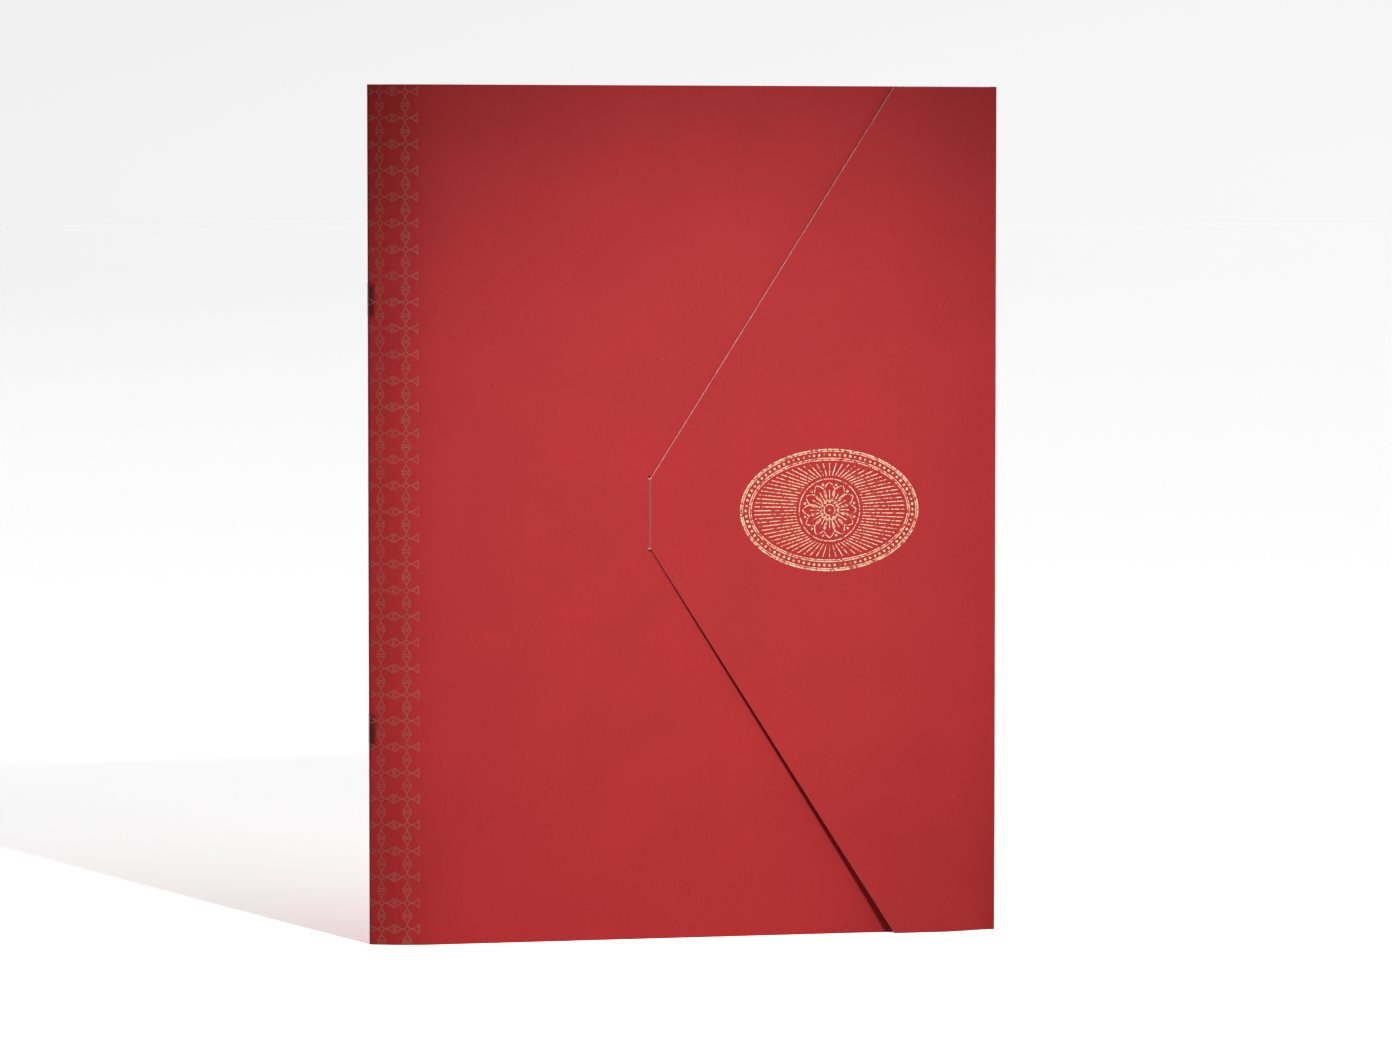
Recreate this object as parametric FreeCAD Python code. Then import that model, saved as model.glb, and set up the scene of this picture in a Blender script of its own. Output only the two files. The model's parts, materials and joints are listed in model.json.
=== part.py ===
"""Stapled card-covered booklet with a wrap-round closing flap, standing upright.

One folded card makes the front cover, spine, back cover, fore-edge strip and closing
flap. Nested paper sheets are wire-stitched through the spine fold, and the flap's
tongue tucks into a slit in the front cover. The book stands on its tail edge: +Z is
up, the front cover faces -Y, the spine is at -X, and the origin is the middle of the
closed book's footprint.
"""

import FreeCAD
import Part
import math
import os

Vec = FreeCAD.Vector

# ---- closed book ----
book_width = 228.6          # spine to fore edge, over the staple crowns
book_height = 304.8
fold_half_depth = 6.3       # middle plane of the book to the middle of the cover card

# ---- card cover ----
card_thickness = 0.45
crease_clearance = 0.06     # between a crease's round knuckle and the panel that turns on it
cover_edge_clearance = 1.2  # front cover's fore edge to the inside of the fore-edge strip

# ---- spine fold ----
spine_nose_radius = 0.9     # middle of the card
fold_slope_deg = 23.0       # the folded arms leave the middle plane at this angle
cover_arm_length = 4.0      # straight stretch of the cover's arm before it bends flat
spine_radius = 1.7          # hinge axis to where the spine piece ends and the covers begin
hinge_gap = 0.15            # between a turning leaf or cover and its own fold

# ---- paper sheets ----
sheet_count = 10
paper_thickness = 0.15
paper_clearance = 0.12      # between nested sheets, and between the card and the first one
sheet_nose_radius = 0.55    # middle of the paper
outer_leaf_depth = 5.0      # middle plane of the book to the first leaf
centre_leaf_depth = 0.9     # middle plane of the book to the centre leaf
first_cut_radius = 2.0      # hinge axis to where the first sheet's front leaf begins
cut_step_length = 0.5       # and how much further out each next one begins
arm_past_cut = 0.3          # a sheet's arm runs straight this far past its cut
head_and_tail_reveal = 1.6  # cover stands past the leaves at head and tail
fore_edge_reveal = 2.0      # leaves stop short of the front cover's fore edge

# ---- wire staples ----
wire_radius = 0.25
crown_length = 12.7         # over the legs' middles
crown_proud = 0.2           # the crown stands this far out of the spine
wire_bend_radius = 0.5
clinch_length = 4.6
clinch_clearance = 0.05     # to the centre fold
wire_clearance = 0.05       # all round the wire, in the card and the paper
staple_height_share = 0.25  # lower staple's middle, and the upper one's from the head

# ---- closing flap ----
flap_edge_width = 37.8      # at head and tail
flap_reach = 128.0          # fore edge to the flap's tip
flap_tip_height = 25.4
flap_gap = 0.10             # flap to front cover
tail_lift = 4.0             # the flap's tail corner springs this far off the cover
tail_lift_run = 20.0        # and rises over this stretch next to the crease

# ---- tongue and slit ----
tongue_length = 19.0
tongue_gap = 0.10           # tongue to the inside of the front cover
tongue_step_deg = 75.0      # how steeply the card steps through the slit
tongue_corner_radius = 5.0
tongue_side_clearance = 0.8
slit_clearance = 0.15

# ---- derived places ----
half_card = card_thickness / 2
slope = math.radians(fold_slope_deg)
spine_face_x = -book_width / 2 + crown_proud
hinge_x = spine_face_x + spine_nose_radius + half_card
fore_face_x = book_width / 2
strip_inner_x = fore_face_x - card_thickness
cover_outer_depth = fold_half_depth + half_card
flap_inner_depth = cover_outer_depth + flap_gap
front_extent = flap_inner_depth + card_thickness + tail_lift
middle_y = (front_extent - cover_outer_depth) / 2
cover_end_x = strip_inner_x - cover_edge_clearance
leaf_end_x = cover_end_x - fore_edge_reveal
crease_reach = card_thickness + crease_clearance
flap_tip_x = fore_face_x - flap_reach
tip_low_z = (book_height - flap_tip_height) / 2
tip_high_z = (book_height + flap_tip_height) / 2
FRONT = -1
BACK = 1


def at(x, depth, side, z=0.0):
    """A point at a depth from the book's middle plane, towards the front or the back."""
    return Vec(x, middle_y + side * depth, z)


def line(a, b):
    return Part.LineSegment(a, b).toShape()


def arc(a, b, c):
    return Part.Arc(a, b, c).toShape()


def prism(edges, low_z, high_z):
    """Closed outline in plan, drawn up between two heights."""
    wire = Part.Wire(Part.__sortEdges__(edges))
    solid = Part.Face(wire).extrude(Vec(0, 0, high_z - low_z))
    solid.translate(Vec(0, 0, low_z))
    return solid


class FoldedSheet:
    """Plan of one folded sheet: a round nose, a straight arm each side, a bend, a flat leaf."""

    def __init__(self, nose_x, nose_radius, arm_length, leaf_depth, thickness, end_x):
        self.nose_x = nose_x
        self.nose_radius = nose_radius
        self.arm_length = arm_length
        self.leaf_depth = leaf_depth
        self.half = thickness / 2
        self.end_x = end_x
        rise = leaf_depth - nose_radius * math.cos(slope) - arm_length * math.sin(slope)
        self.bend_radius = rise / (1 - math.cos(slope))

    def arm_point(self, offset, distance, side):
        """Point on the arm, at a distance past the nose, on the face at this offset."""
        radius = self.nose_radius + offset
        x = self.nose_x - radius * math.sin(slope) + distance * math.cos(slope)
        depth = radius * math.cos(slope) + distance * math.sin(slope)
        return at(x, depth, side)

    def bend_point(self, offset, angle, side):
        """Point on the bend, where the sheet still slopes by this angle."""
        radius = self.bend_radius + offset
        start = self.arm_point(0, self.arm_length, side)
        centre_x = start.x + self.bend_radius * math.sin(slope)
        centre_depth = self.leaf_depth - self.bend_radius
        x = centre_x - radius * math.sin(angle)
        return at(x, centre_depth + radius * math.cos(angle), side)

    def nose_edge(self, offset):
        tip = at(self.nose_x - self.nose_radius - offset, 0, FRONT)
        return arc(self.arm_point(offset, 0, FRONT), tip, self.arm_point(offset, 0, BACK))

    def leaf_edges(self, offset, side):
        """One face of a leaf, from the nose to its fore edge."""
        bend_start = self.bend_point(offset, slope, side)
        bend_end = self.bend_point(offset, 0, side)
        fore_edge = at(self.end_x, self.leaf_depth + offset, side)
        return [
            line(self.arm_point(offset, 0, side), bend_start),
            arc(bend_start, self.bend_point(offset, slope / 2, side), bend_end),
            line(bend_end, fore_edge),
        ]

    def end_edge(self, side):
        inner = at(self.end_x, self.leaf_depth - self.half, side)
        return line(inner, at(self.end_x, self.leaf_depth + self.half, side))

    def solid(self, low_z, high_z):
        """The whole folded sheet: front leaf, fold and back leaf."""
        edges = [self.end_edge(FRONT), self.end_edge(BACK)]
        for offset in (-self.half, self.half):
            edges += self.leaf_edges(offset, FRONT)
            edges.append(self.nose_edge(offset))
            edges += self.leaf_edges(offset, BACK)
        return prism(edges, low_z, high_z)

    def distance_at_radius(self, radius):
        """How far along the arm its middle line is this far from the hinge axis."""
        start = self.arm_point(0, 0, FRONT)
        x = start.x - hinge_x
        depth = self.nose_radius * math.cos(slope)
        along = x * math.cos(slope) + depth * math.sin(slope)
        return -along + math.sqrt(along ** 2 + radius ** 2 - x ** 2 - depth ** 2)


def hinge_cylinder(radius):
    return Part.makeCylinder(radius, book_height, Vec(hinge_x, middle_y, 0))


def turning_space(radius, side):
    """One side of the middle plane, outside a cylinder about the hinge axis."""
    low_y = middle_y - book_width if side == FRONT else middle_y
    half = Part.makeBox(2 * book_width, book_width, book_height, Vec(-book_width, low_y, 0))
    return half.cut(hinge_cylinder(radius))


def make_cover_sheet():
    return FoldedSheet(hinge_x, spine_nose_radius, cover_arm_length, fold_half_depth,
                       card_thickness, cover_end_x)


def make_paper_sheets():
    """The nested sheets, outermost first, with the cut between each fold and front leaf."""
    card_pitch = half_card + paper_thickness / 2 + paper_clearance
    first_step = (card_pitch - (spine_nose_radius - sheet_nose_radius)) / math.sin(slope)
    nest_step = (paper_thickness + paper_clearance) / math.sin(slope)
    depth_step = (outer_leaf_depth - centre_leaf_depth) / (sheet_count - 1)
    sheets = []
    for index in range(sheet_count):
        nose_x = hinge_x + first_step + index * nest_step
        leaf_depth = outer_leaf_depth - index * depth_step
        sheet = FoldedSheet(nose_x, sheet_nose_radius, 0, leaf_depth, paper_thickness, leaf_end_x)
        cut_radius = first_cut_radius + index * cut_step_length
        arm_length = sheet.distance_at_radius(cut_radius + hinge_gap) + arm_past_cut
        sheet = FoldedSheet(nose_x, sheet_nose_radius, arm_length, leaf_depth,
                            paper_thickness, leaf_end_x)
        sheets.append((sheet, cut_radius))
    return sheets


def staple_heights():
    lower = book_height * staple_height_share
    return {"staple_lower": lower, "staple_upper": book_height - lower}


def crown_x():
    return spine_face_x - crown_proud + wire_radius


def leg_heights(middle_z):
    return middle_z - crown_length / 2, middle_z + crown_length / 2


def make_staple(middle_z, clinch_x, radius):
    """Crown on the spine, two legs through the folds, and ends clinched in the centre."""
    low, high = leg_heights(middle_z)
    turn = wire_bend_radius
    diagonal = turn * (1 - math.sqrt(0.5))
    back_x = crown_x()

    def leg(z, inward):
        leg_start = Vec(back_x + turn, middle_y, z)
        leg_end = Vec(clinch_x - turn, middle_y, z)
        crown_end = Vec(back_x, middle_y, z + inward * turn)
        clinch_start = Vec(clinch_x, middle_y, z + inward * turn)
        clinch_end = Vec(clinch_x, middle_y, z + inward * clinch_length)
        bend_out = Vec(back_x + diagonal, middle_y, z + inward * diagonal)
        bend_in = Vec(clinch_x - diagonal, middle_y, z + inward * diagonal)
        return [
            line(clinch_end, clinch_start),
            arc(clinch_start, bend_in, leg_end),
            line(leg_end, leg_start),
            arc(leg_start, bend_out, crown_end),
        ]

    lower_edges = leg(low, 1)
    upper_edges = leg(high, -1)
    crown = line(Vec(back_x, middle_y, low + turn), Vec(back_x, middle_y, high - turn))
    path = Part.Wire(Part.__sortEdges__(lower_edges + [crown] + upper_edges))
    start = Vec(clinch_x, middle_y, low + clinch_length)
    section = Part.Wire(Part.makeCircle(radius, start, Vec(0, 0, 1)))
    return path.makePipeShell([section], True, False)


def wire_channels(clinch_x):
    """Cutters for the way that both staples take through the card and the paper."""
    radius = wire_radius + wire_clearance
    return [make_staple(z, clinch_x, radius) for z in staple_heights().values()]


def knuckle(x, depth, side, direction_angle):
    """Round back of a crease: a half disc of the card's thickness about the crease axis."""
    centre = at(x, depth, side)

    def rim(angle):
        turned = math.radians(direction_angle + angle)
        return centre + Vec(card_thickness * math.cos(turned), card_thickness * math.sin(turned), 0)

    return prism([line(rim(-90), rim(90)), arc(rim(-90), rim(0), rim(90))], 0, book_height)


def make_front_cover(cover_solid):
    panel = cover_solid.common(turning_space(spine_radius + hinge_gap, FRONT))
    half_width = slit_half_width()
    low_z = tip_low_z - tongue_side_clearance
    slit_height = flap_tip_height + 2 * tongue_side_clearance
    corner = at(flap_tip_x - half_width, cover_outer_depth + card_thickness, FRONT, low_z)
    slit = Part.makeBox(2 * half_width, 3 * card_thickness, slit_height, corner)
    return panel.cut(slit)


def make_back_cover():
    """Flat to the fore-edge crease, with the crease's round back on its end."""
    back = FoldedSheet(hinge_x, spine_nose_radius, cover_arm_length, fold_half_depth,
                       card_thickness, strip_inner_x)
    panel = back.solid(0, book_height).common(turning_space(spine_radius, BACK))
    crease = knuckle(strip_inner_x, fold_half_depth - half_card, BACK, 0)
    return panel.fuse(crease).removeSplitter()


def make_fore_edge_strip():
    back_y = at(0, fold_half_depth - half_card, BACK).y - crease_reach
    front_y = at(0, flap_inner_depth, FRONT).y
    corner = Vec(strip_inner_x, front_y, 0)
    panel = Part.makeBox(card_thickness, back_y - front_y, book_height, corner)
    crease = knuckle(strip_inner_x, flap_inner_depth, FRONT, -90)
    return panel.fuse(crease).removeSplitter()


def flap_section(lift, z):
    """Closed plan of the flap at one height, lifted off the cover away from its crease."""
    crease_x = strip_inner_x - crease_reach
    run_x = crease_x - tail_lift_run
    inner = flap_inner_depth
    outer = inner + card_thickness
    edges = []
    for depth in (inner, outer):
        start = at(crease_x, depth, FRONT, z)
        top = at(run_x, depth + lift, FRONT, z)
        if lift:
            radius = (tail_lift_run ** 2 + lift ** 2) / (2 * lift)
            half_angle = math.asin(tail_lift_run / radius) / 2
            x = run_x + radius * math.sin(half_angle)
            rise = lift - radius * (1 - math.cos(half_angle))
            rising = arc(start, at(x, depth + rise, FRONT, z), top)
        else:
            rising = line(start, top)
        level = line(top, at(flap_tip_x, depth + lift, FRONT, z))
        edges.append([rising, level])
    tip = line(at(flap_tip_x, inner + lift, FRONT, z), at(flap_tip_x, outer + lift, FRONT, z))
    crease = line(at(crease_x, outer, FRONT, z), at(crease_x, inner, FRONT, z))
    inner_rising, inner_level = edges[0]
    outer_rising, outer_level = edges[1]
    return Part.Wire([inner_rising, inner_level, tip, outer_level, outer_rising, crease])


def flap_outline():
    """Side-on outline of the flap, as a prism through the whole book."""
    shoulder_x = fore_face_x - flap_edge_width
    corners = [
        (fore_face_x, 0),
        (shoulder_x, 0),
        (flap_tip_x + slit_half_width(), tip_low_z),
        (flap_tip_x + slit_half_width(), tip_high_z),
        (shoulder_x, book_height),
        (fore_face_x, book_height),
        (fore_face_x, 0),
    ]
    near_y = middle_y - 2 * front_extent
    wire = Part.makePolygon([Vec(x, near_y, z) for x, z in corners])
    return Part.Face(wire).extrude(Vec(0, 4 * front_extent, 0))


def tongue_depths():
    """Depths of the middle of the card before and behind the front cover."""
    before = flap_inner_depth + half_card
    behind = fold_half_depth - half_card - tongue_gap - half_card
    return before, behind


def slit_half_width():
    """Room each side of the slit's middle for the card that crosses it on a slope."""
    step = math.radians(tongue_step_deg)
    return half_card / math.tan(step) + half_card / math.sin(step) + slit_clearance


def make_tongue():
    """The card steps down through the slit and runs on behind the cover."""
    before, behind = tongue_depths()
    half_step = (before - behind) / 2 / math.tan(math.radians(tongue_step_deg))
    mitre = half_card * math.tan(math.radians(tongue_step_deg / 2))
    start_x = flap_tip_x + slit_half_width()
    bend_x = flap_tip_x + half_step
    back_x = flap_tip_x - half_step
    end_x = flap_tip_x - tongue_length
    outline = [
        (start_x, before - half_card),
        (bend_x + mitre, before - half_card),
        (back_x + mitre, behind - half_card),
        (end_x, behind - half_card),
        (end_x, behind + half_card),
        (back_x - mitre, behind + half_card),
        (bend_x - mitre, before + half_card),
        (start_x, before + half_card),
    ]
    points = [at(x, depth, FRONT) for x, depth in outline]
    wire = Part.makePolygon(points + points[:1])
    solid = Part.Face(wire).extrude(Vec(0, 0, flap_tip_height))
    solid.translate(Vec(0, 0, tip_low_z))
    corner_edges = []
    for edge in solid.Edges:
        middle = edge.CenterOfMass
        across = abs(edge.Vertexes[0].Y - edge.Vertexes[-1].Y) > half_card
        if across and abs(middle.x - end_x) < half_card:
            corner_edges.append(edge)
    return solid.makeFillet(tongue_corner_radius, corner_edges)


def make_closing_flap():
    tail = Part.makeLoft([flap_section(tail_lift, 0), flap_section(0, tip_low_z)], True, True)
    head_wires = [flap_section(0, tip_low_z), flap_section(0, book_height)]
    head = Part.makeLoft(head_wires, True, True)
    outline = flap_outline()
    panel = tail.common(outline).fuse(head.common(outline))
    return panel.fuse(make_tongue()).removeSplitter()


def build():
    """Every piece by its node name."""
    cover_solid = make_cover_sheet().solid(0, book_height)
    sheets = make_paper_sheets()
    centre_sheet = sheets[-1][0]
    fold_inside_x = centre_sheet.nose_x - centre_sheet.nose_radius + centre_sheet.half
    clinch_x = fold_inside_x + clinch_clearance + wire_radius
    channels = wire_channels(clinch_x)
    pieces = {
        "spine_fold": cover_solid.common(hinge_cylinder(spine_radius)).cut(channels),
        "front_cover": make_front_cover(cover_solid),
        "back_cover": make_back_cover(),
        "fore_edge_strip": make_fore_edge_strip(),
        "closing_flap": make_closing_flap(),
    }
    for name, middle_z in staple_heights().items():
        pieces[name] = make_staple(middle_z, clinch_x, wire_radius)
    low_z = head_and_tail_reveal
    high_z = book_height - head_and_tail_reveal
    for number, (sheet, cut_radius) in enumerate(sheets, start=1):
        folded = sheet.solid(low_z, high_z)
        front_leaf = folded.common(turning_space(cut_radius + hinge_gap, FRONT))
        back_leaf = folded.cut(turning_space(cut_radius, FRONT)).cut(channels)
        pieces[f"sheet_{number:02d}_front_leaf"] = front_leaf
        pieces[f"sheet_{number:02d}_back_leaf"] = back_leaf
    return pieces


def main():
    os.makedirs("parts", exist_ok=True)
    for name, shape in build().items():
        assert shape.isValid() and len(shape.Solids) == 1, name
        shape.Solids[0].exportStep(f"parts/{name}.step")
        box = shape.BoundBox
        print(f"{name}: {shape.Volume:.1f} mm3, X {box.XMin:.2f}..{box.XMax:.2f}, "
              f"Y {box.YMin:.2f}..{box.YMax:.2f}, Z {box.ZMin:.2f}..{box.ZMax:.2f}")
    print("hinge axis x", round(hinge_x, 4), "y", round(middle_y, 4))
    print("back crease", round(strip_inner_x, 4), round(at(0, fold_half_depth - half_card, BACK).y, 4))
    print("front crease", round(strip_inner_x, 4), round(at(0, flap_inner_depth, FRONT).y, 4))


main()
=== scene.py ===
"""Looks of the prayer book: card cover and flap, paper, staples, printed crosses, foil and stage.

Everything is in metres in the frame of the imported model: +Z up, the front cover faces -Y,
the spine is at -X, and the origin is the middle of the closed book's footprint.
"""

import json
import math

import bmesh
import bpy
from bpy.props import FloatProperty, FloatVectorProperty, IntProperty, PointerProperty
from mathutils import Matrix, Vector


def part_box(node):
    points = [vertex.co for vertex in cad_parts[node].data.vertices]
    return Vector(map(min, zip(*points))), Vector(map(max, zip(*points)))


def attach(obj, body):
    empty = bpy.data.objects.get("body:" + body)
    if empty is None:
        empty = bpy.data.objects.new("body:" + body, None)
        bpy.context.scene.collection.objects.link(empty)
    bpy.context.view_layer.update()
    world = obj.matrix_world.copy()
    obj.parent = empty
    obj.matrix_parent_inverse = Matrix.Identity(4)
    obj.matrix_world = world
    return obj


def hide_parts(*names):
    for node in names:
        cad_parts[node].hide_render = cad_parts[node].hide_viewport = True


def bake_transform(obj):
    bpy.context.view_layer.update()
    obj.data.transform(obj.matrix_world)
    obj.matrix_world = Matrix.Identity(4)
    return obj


bl_info = {
    "name": "Prayer Book",
    "version": (1, 0, 0),
    "blender": (4, 5, 0),
    "location": "View3D > Sidebar > Prayer Book",
    "description": "Makes the card, paper, print, foil and staples of a stapled prayer book",
    "category": "Add Mesh",
}

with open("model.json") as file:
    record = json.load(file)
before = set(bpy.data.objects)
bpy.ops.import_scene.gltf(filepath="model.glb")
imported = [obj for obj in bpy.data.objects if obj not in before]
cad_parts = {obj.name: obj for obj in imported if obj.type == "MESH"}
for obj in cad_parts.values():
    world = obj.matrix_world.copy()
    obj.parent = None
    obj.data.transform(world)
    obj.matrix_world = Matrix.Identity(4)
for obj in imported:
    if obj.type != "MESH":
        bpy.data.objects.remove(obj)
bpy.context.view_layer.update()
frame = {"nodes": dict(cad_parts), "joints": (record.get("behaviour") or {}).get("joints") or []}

MM = 0.001
NEARLY = 0.001 * MM  # places closer than this are the same place
STAPLES = ("staple_lower", "staple_upper")


# ---- places read from the frame ----

def joint_axis(name):
    """Where a joint's axis stands in plan."""
    joint = next(j for j in frame["joints"] if j["name"] == name)
    return Vector(joint["pos_m"][:2])


HINGE = joint_axis("cover_turn")
BACK_CREASE = joint_axis("strip_fold")
FRONT_CREASE = joint_axis("flap_turn")
SHEET_COUNT = sum(name.endswith("_front_leaf") for name in frame["nodes"])
SPINE_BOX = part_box("spine_fold")
FRONT_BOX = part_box("front_cover")
BACK_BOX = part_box("back_cover")
FLAP_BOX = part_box("closing_flap")
BOOK_HEIGHT = BACK_BOX[1].z
COVER_DEPTH = BACK_BOX[1].y - HINGE.y


# ---- plan paths ----

ARM_FINENESS = 4  # how many times closer the mesh points are along a fold's arm


def polar(centre, radius, degrees):
    """The plan point at a distance and a direction from a centre."""
    angle = math.radians(degrees)
    return centre + radius * Vector((math.cos(angle), math.sin(angle)))


def run(start, end, spacing):
    """Points after start, up to and with end."""
    count = max(1, round((end - start).length / spacing))
    return [start.lerp(end, i / count) for i in range(1, count + 1)]


def bend(centre, radius, first, last, count):
    """Points along an arc after its first one, in degrees."""
    return [polar(centre, radius, first + (last - first) * i / count) for i in range(1, count + 1)]


def left_normals(points):
    """Unit normals to the left of the way along a plan path."""
    normals = []
    for i in range(len(points)):
        before = points[max(i - 1, 0)]
        after = points[min(i + 1, len(points) - 1)]
        along = (after - before).normalized()
        normals.append(Vector((-along.y, along.x)))
    return normals


def lengths_along(points):
    """Distance along the path at each point."""
    total = [0.0]
    for a, b in zip(points, points[1:]):
        total.append(total[-1] + (b - a).length)
    return total


class Fold:
    """Plan of a folded sheet's middle: front leaf, bend, arm, round nose, and the same behind."""

    def __init__(self, nose_centre, nose_radius, slope, arm_length, leaf_depth):
        self.centre = nose_centre
        self.nose_radius = nose_radius
        self.slope = slope
        self.arm_length = arm_length
        self.depth = leaf_depth
        rise = leaf_depth - nose_radius * math.cos(slope) - arm_length * math.sin(slope)
        self.bend_radius = rise / (1 - math.cos(slope))

    def arm_ends(self):
        """Front ends of the arm: at the nose and at the bend."""
        at_nose = polar(self.centre, self.nose_radius, 270 - math.degrees(self.slope))
        along = Vector((math.cos(self.slope), -math.sin(self.slope)))
        return at_nose, at_nose + along * self.arm_length

    def half(self, end_x, spacing, nose_steps, bend_steps):
        """The front half, from the leaf's fore edge to the tip of the nose."""
        at_nose, at_bend = self.arm_ends()
        slope = math.degrees(self.slope)
        bend_centre = polar(at_bend, self.bend_radius, 90 - slope)
        level = Vector((bend_centre.x, self.centre.y - self.depth))
        start = Vector((end_x, level.y))
        points = [start] + run(start, level, spacing)
        points += bend(bend_centre, self.bend_radius, 270, 270 - slope, bend_steps)
        points += run(at_bend, at_nose, spacing / ARM_FINENESS)
        points += bend(self.centre, self.nose_radius, 270 - slope, 180, nose_steps)
        return points

    def mirrored(self, points):
        """The back half of the same sheet, from the nose outwards."""
        return [Vector((p.x, 2 * self.centre.y - p.y)) for p in reversed(points)]


# ---- meshes ----

def new_piece(name, mesh, materials):
    """An object of this mesh, at the origin, with these materials in its slots."""
    piece = bpy.data.objects.new(name, mesh)
    bpy.context.scene.collection.objects.link(piece)
    for material in materials:
        mesh.materials.append(material)
    return piece


# Material slots of a card or paper sheet.
OUTER, INNER, RIM = 0, 1, 2


def soften_faces(sheet):
    """Shades the two faces of a sheet smooth and keeps its cut edge crisp."""
    for face in sheet.faces:
        face.smooth = face.material_index != RIM
    for edge in sheet.edges:
        edge.smooth = len({face.material_index for face in edge.link_faces}) < 2


def thin_sheet(name, points, cells, thickness, materials):
    """A closed sheet about a grid of middle points: outer face, inner face and rim.

    points holds rows of places and cells the (row, column) pairs to fill. Columns run so
    that the outer face is on their left, seen from above, and rows go up.
    """
    middle = bmesh.new()
    made = {}

    def vertex(row, column):
        if (row, column) not in made:
            made[row, column] = middle.verts.new(points[row][column])
        return made[row, column]

    for row, column in cells:
        corners = ((row, column), (row + 1, column), (row + 1, column + 1), (row, column + 1))
        middle.faces.new([vertex(*corner) for corner in corners])
    middle.normal_update()
    sheet = bmesh.new()
    outer, inner = {}, {}
    for v in middle.verts:
        offset = v.normal * (thickness / 2 * v.calc_shell_factor())
        outer[v] = sheet.verts.new(v.co + offset)
        inner[v] = sheet.verts.new(v.co - offset)
    for face in middle.faces:
        sheet.faces.new([outer[v] for v in face.verts]).material_index = OUTER
        sheet.faces.new([inner[v] for v in reversed(face.verts)]).material_index = INNER
    for edge in middle.edges:
        if edge.is_boundary:
            loop = edge.link_loops[0]
            a, b = loop.vert, loop.link_loop_next.vert
            rim = sheet.faces.new([outer[b], outer[a], inner[a], inner[b]])
            rim.material_index = RIM
    soften_faces(sheet)
    mesh = bpy.data.meshes.new(name)
    sheet.to_mesh(mesh)
    middle.free()
    sheet.free()
    return new_piece(name, mesh, materials)


def chamfer_cut(piece, width, wanted):
    """Crushes the outer border of a sheet's cut edge where wanted says so."""
    cut = bmesh.new()
    cut.from_mesh(piece.data)
    border = []
    for edge in cut.edges:
        kinds = {face.material_index for face in edge.link_faces}
        if kinds == {OUTER, RIM} and all(wanted(v.co) for v in edge.verts):
            border.append(edge)
    bmesh.ops.bevel(cut, geom=border, offset=width, offset_type="OFFSET", segments=1,
                    profile=0.5, affect="EDGES", clamp_overlap=True, material=RIM)
    soften_faces(cut)
    cut.to_mesh(piece.data)
    cut.free()


def heights(low, high, spacing, stops=()):
    """Row heights from low to high, with a row at each stop."""
    places = [low, *sorted(stops), high]
    rows = [low]
    for a, b in zip(places, places[1:]):
        count = max(1, round((b - a) / spacing))
        rows += [a + (b - a) * i / count for i in range(1, count + 1)]
    return rows


def upright_grid(plan, rows):
    """The places of a plan path at each height, and all the cells between them."""
    points = [[Vector((p.x, p.y, z)) for p in plan] for z in rows]
    cells = [(row, column) for row in range(len(rows) - 1) for column in range(len(plan) - 1)]
    return points, cells


# ---- card pieces ----

BACK_SPLIT = 0.25  # share of the back cover that is one piece with the spine
TONGUE_FINENESS = 3  # how many times closer the mesh points are along the tongue


def cover_fold():
    """Plan of the cover card about the spine."""
    card = bpy.context.scene.prayer_book_card
    return Fold(HINGE, card.nose_radius, card.fold_slope, card.arm_length,
                COVER_DEPTH - card.thickness / 2)


def crease_arc(axis, first, last):
    """Middle of the card round a crease axis on the card's inner face."""
    card = bpy.context.scene.prayer_book_card
    return bend(axis, card.thickness / 2, first, last, card.crease_steps)


def split_x():
    """Where the back cover's two visual pieces meet, in its flat part."""
    return BACK_BOX[0].x + (BACK_BOX[1].x - BACK_BOX[0].x) * BACK_SPLIT


def make_cover_and_spine():
    """Front cover with its slit, spine fold and the first quarter of the back cover."""
    card = bpy.context.scene.prayer_book_card
    fold = cover_fold()
    half = card.slit_width / 2
    slit_low, slit_high = slit_heights()
    front = fold.half(FRONT_BOX[1].x, card.spacing, card.nose_steps, card.bend_steps)
    level = front[0].y
    slit_x = tip_x()
    turned = [p for p in front if abs(p.y - level) > NEARLY]
    bend_start = Vector((min(p.x for p in front if abs(p.y - level) <= NEARLY), level))
    near = Vector((slit_x + half, level))
    far = Vector((slit_x - half, level))
    flat = [front[0]] + run(front[0], near, card.spacing)
    slit_column = len(flat) - 1
    flat += [far] + run(far, bend_start, card.spacing)
    back = fold.mirrored(turned)[1:]
    back.append(Vector((bend_start.x, 2 * HINGE.y - level)))
    back += run(back[-1], Vector((split_x(), back[-1].y)), card.spacing)
    plan = flat + turned + back
    rows = heights(0, BOOK_HEIGHT, card.spacing, (slit_low, slit_high))
    points, cells = upright_grid(plan, rows)
    in_slit = [slit_low - NEARLY <= z < slit_high - NEARLY for z in rows]
    cells = [(row, column) for row, column in cells
             if column != slit_column or not in_slit[row]]
    piece = thin_sheet("cover_and_spine_card", points, cells, card.thickness, card_finishes())
    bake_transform(piece)
    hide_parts("front_cover", "spine_fold", "back_cover")


def tip_x():
    """Where the flap's tongue goes through the front cover."""
    return bpy.context.scene.prayer_book_flap.tip_x


def slit_heights():
    """Lower and upper end of the slit in the front cover."""
    flap = bpy.context.scene.prayer_book_flap
    middle = BOOK_HEIGHT / 2
    reach = flap.tip_height / 2 + flap.tongue_clearance
    return middle - reach, middle + reach


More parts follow.
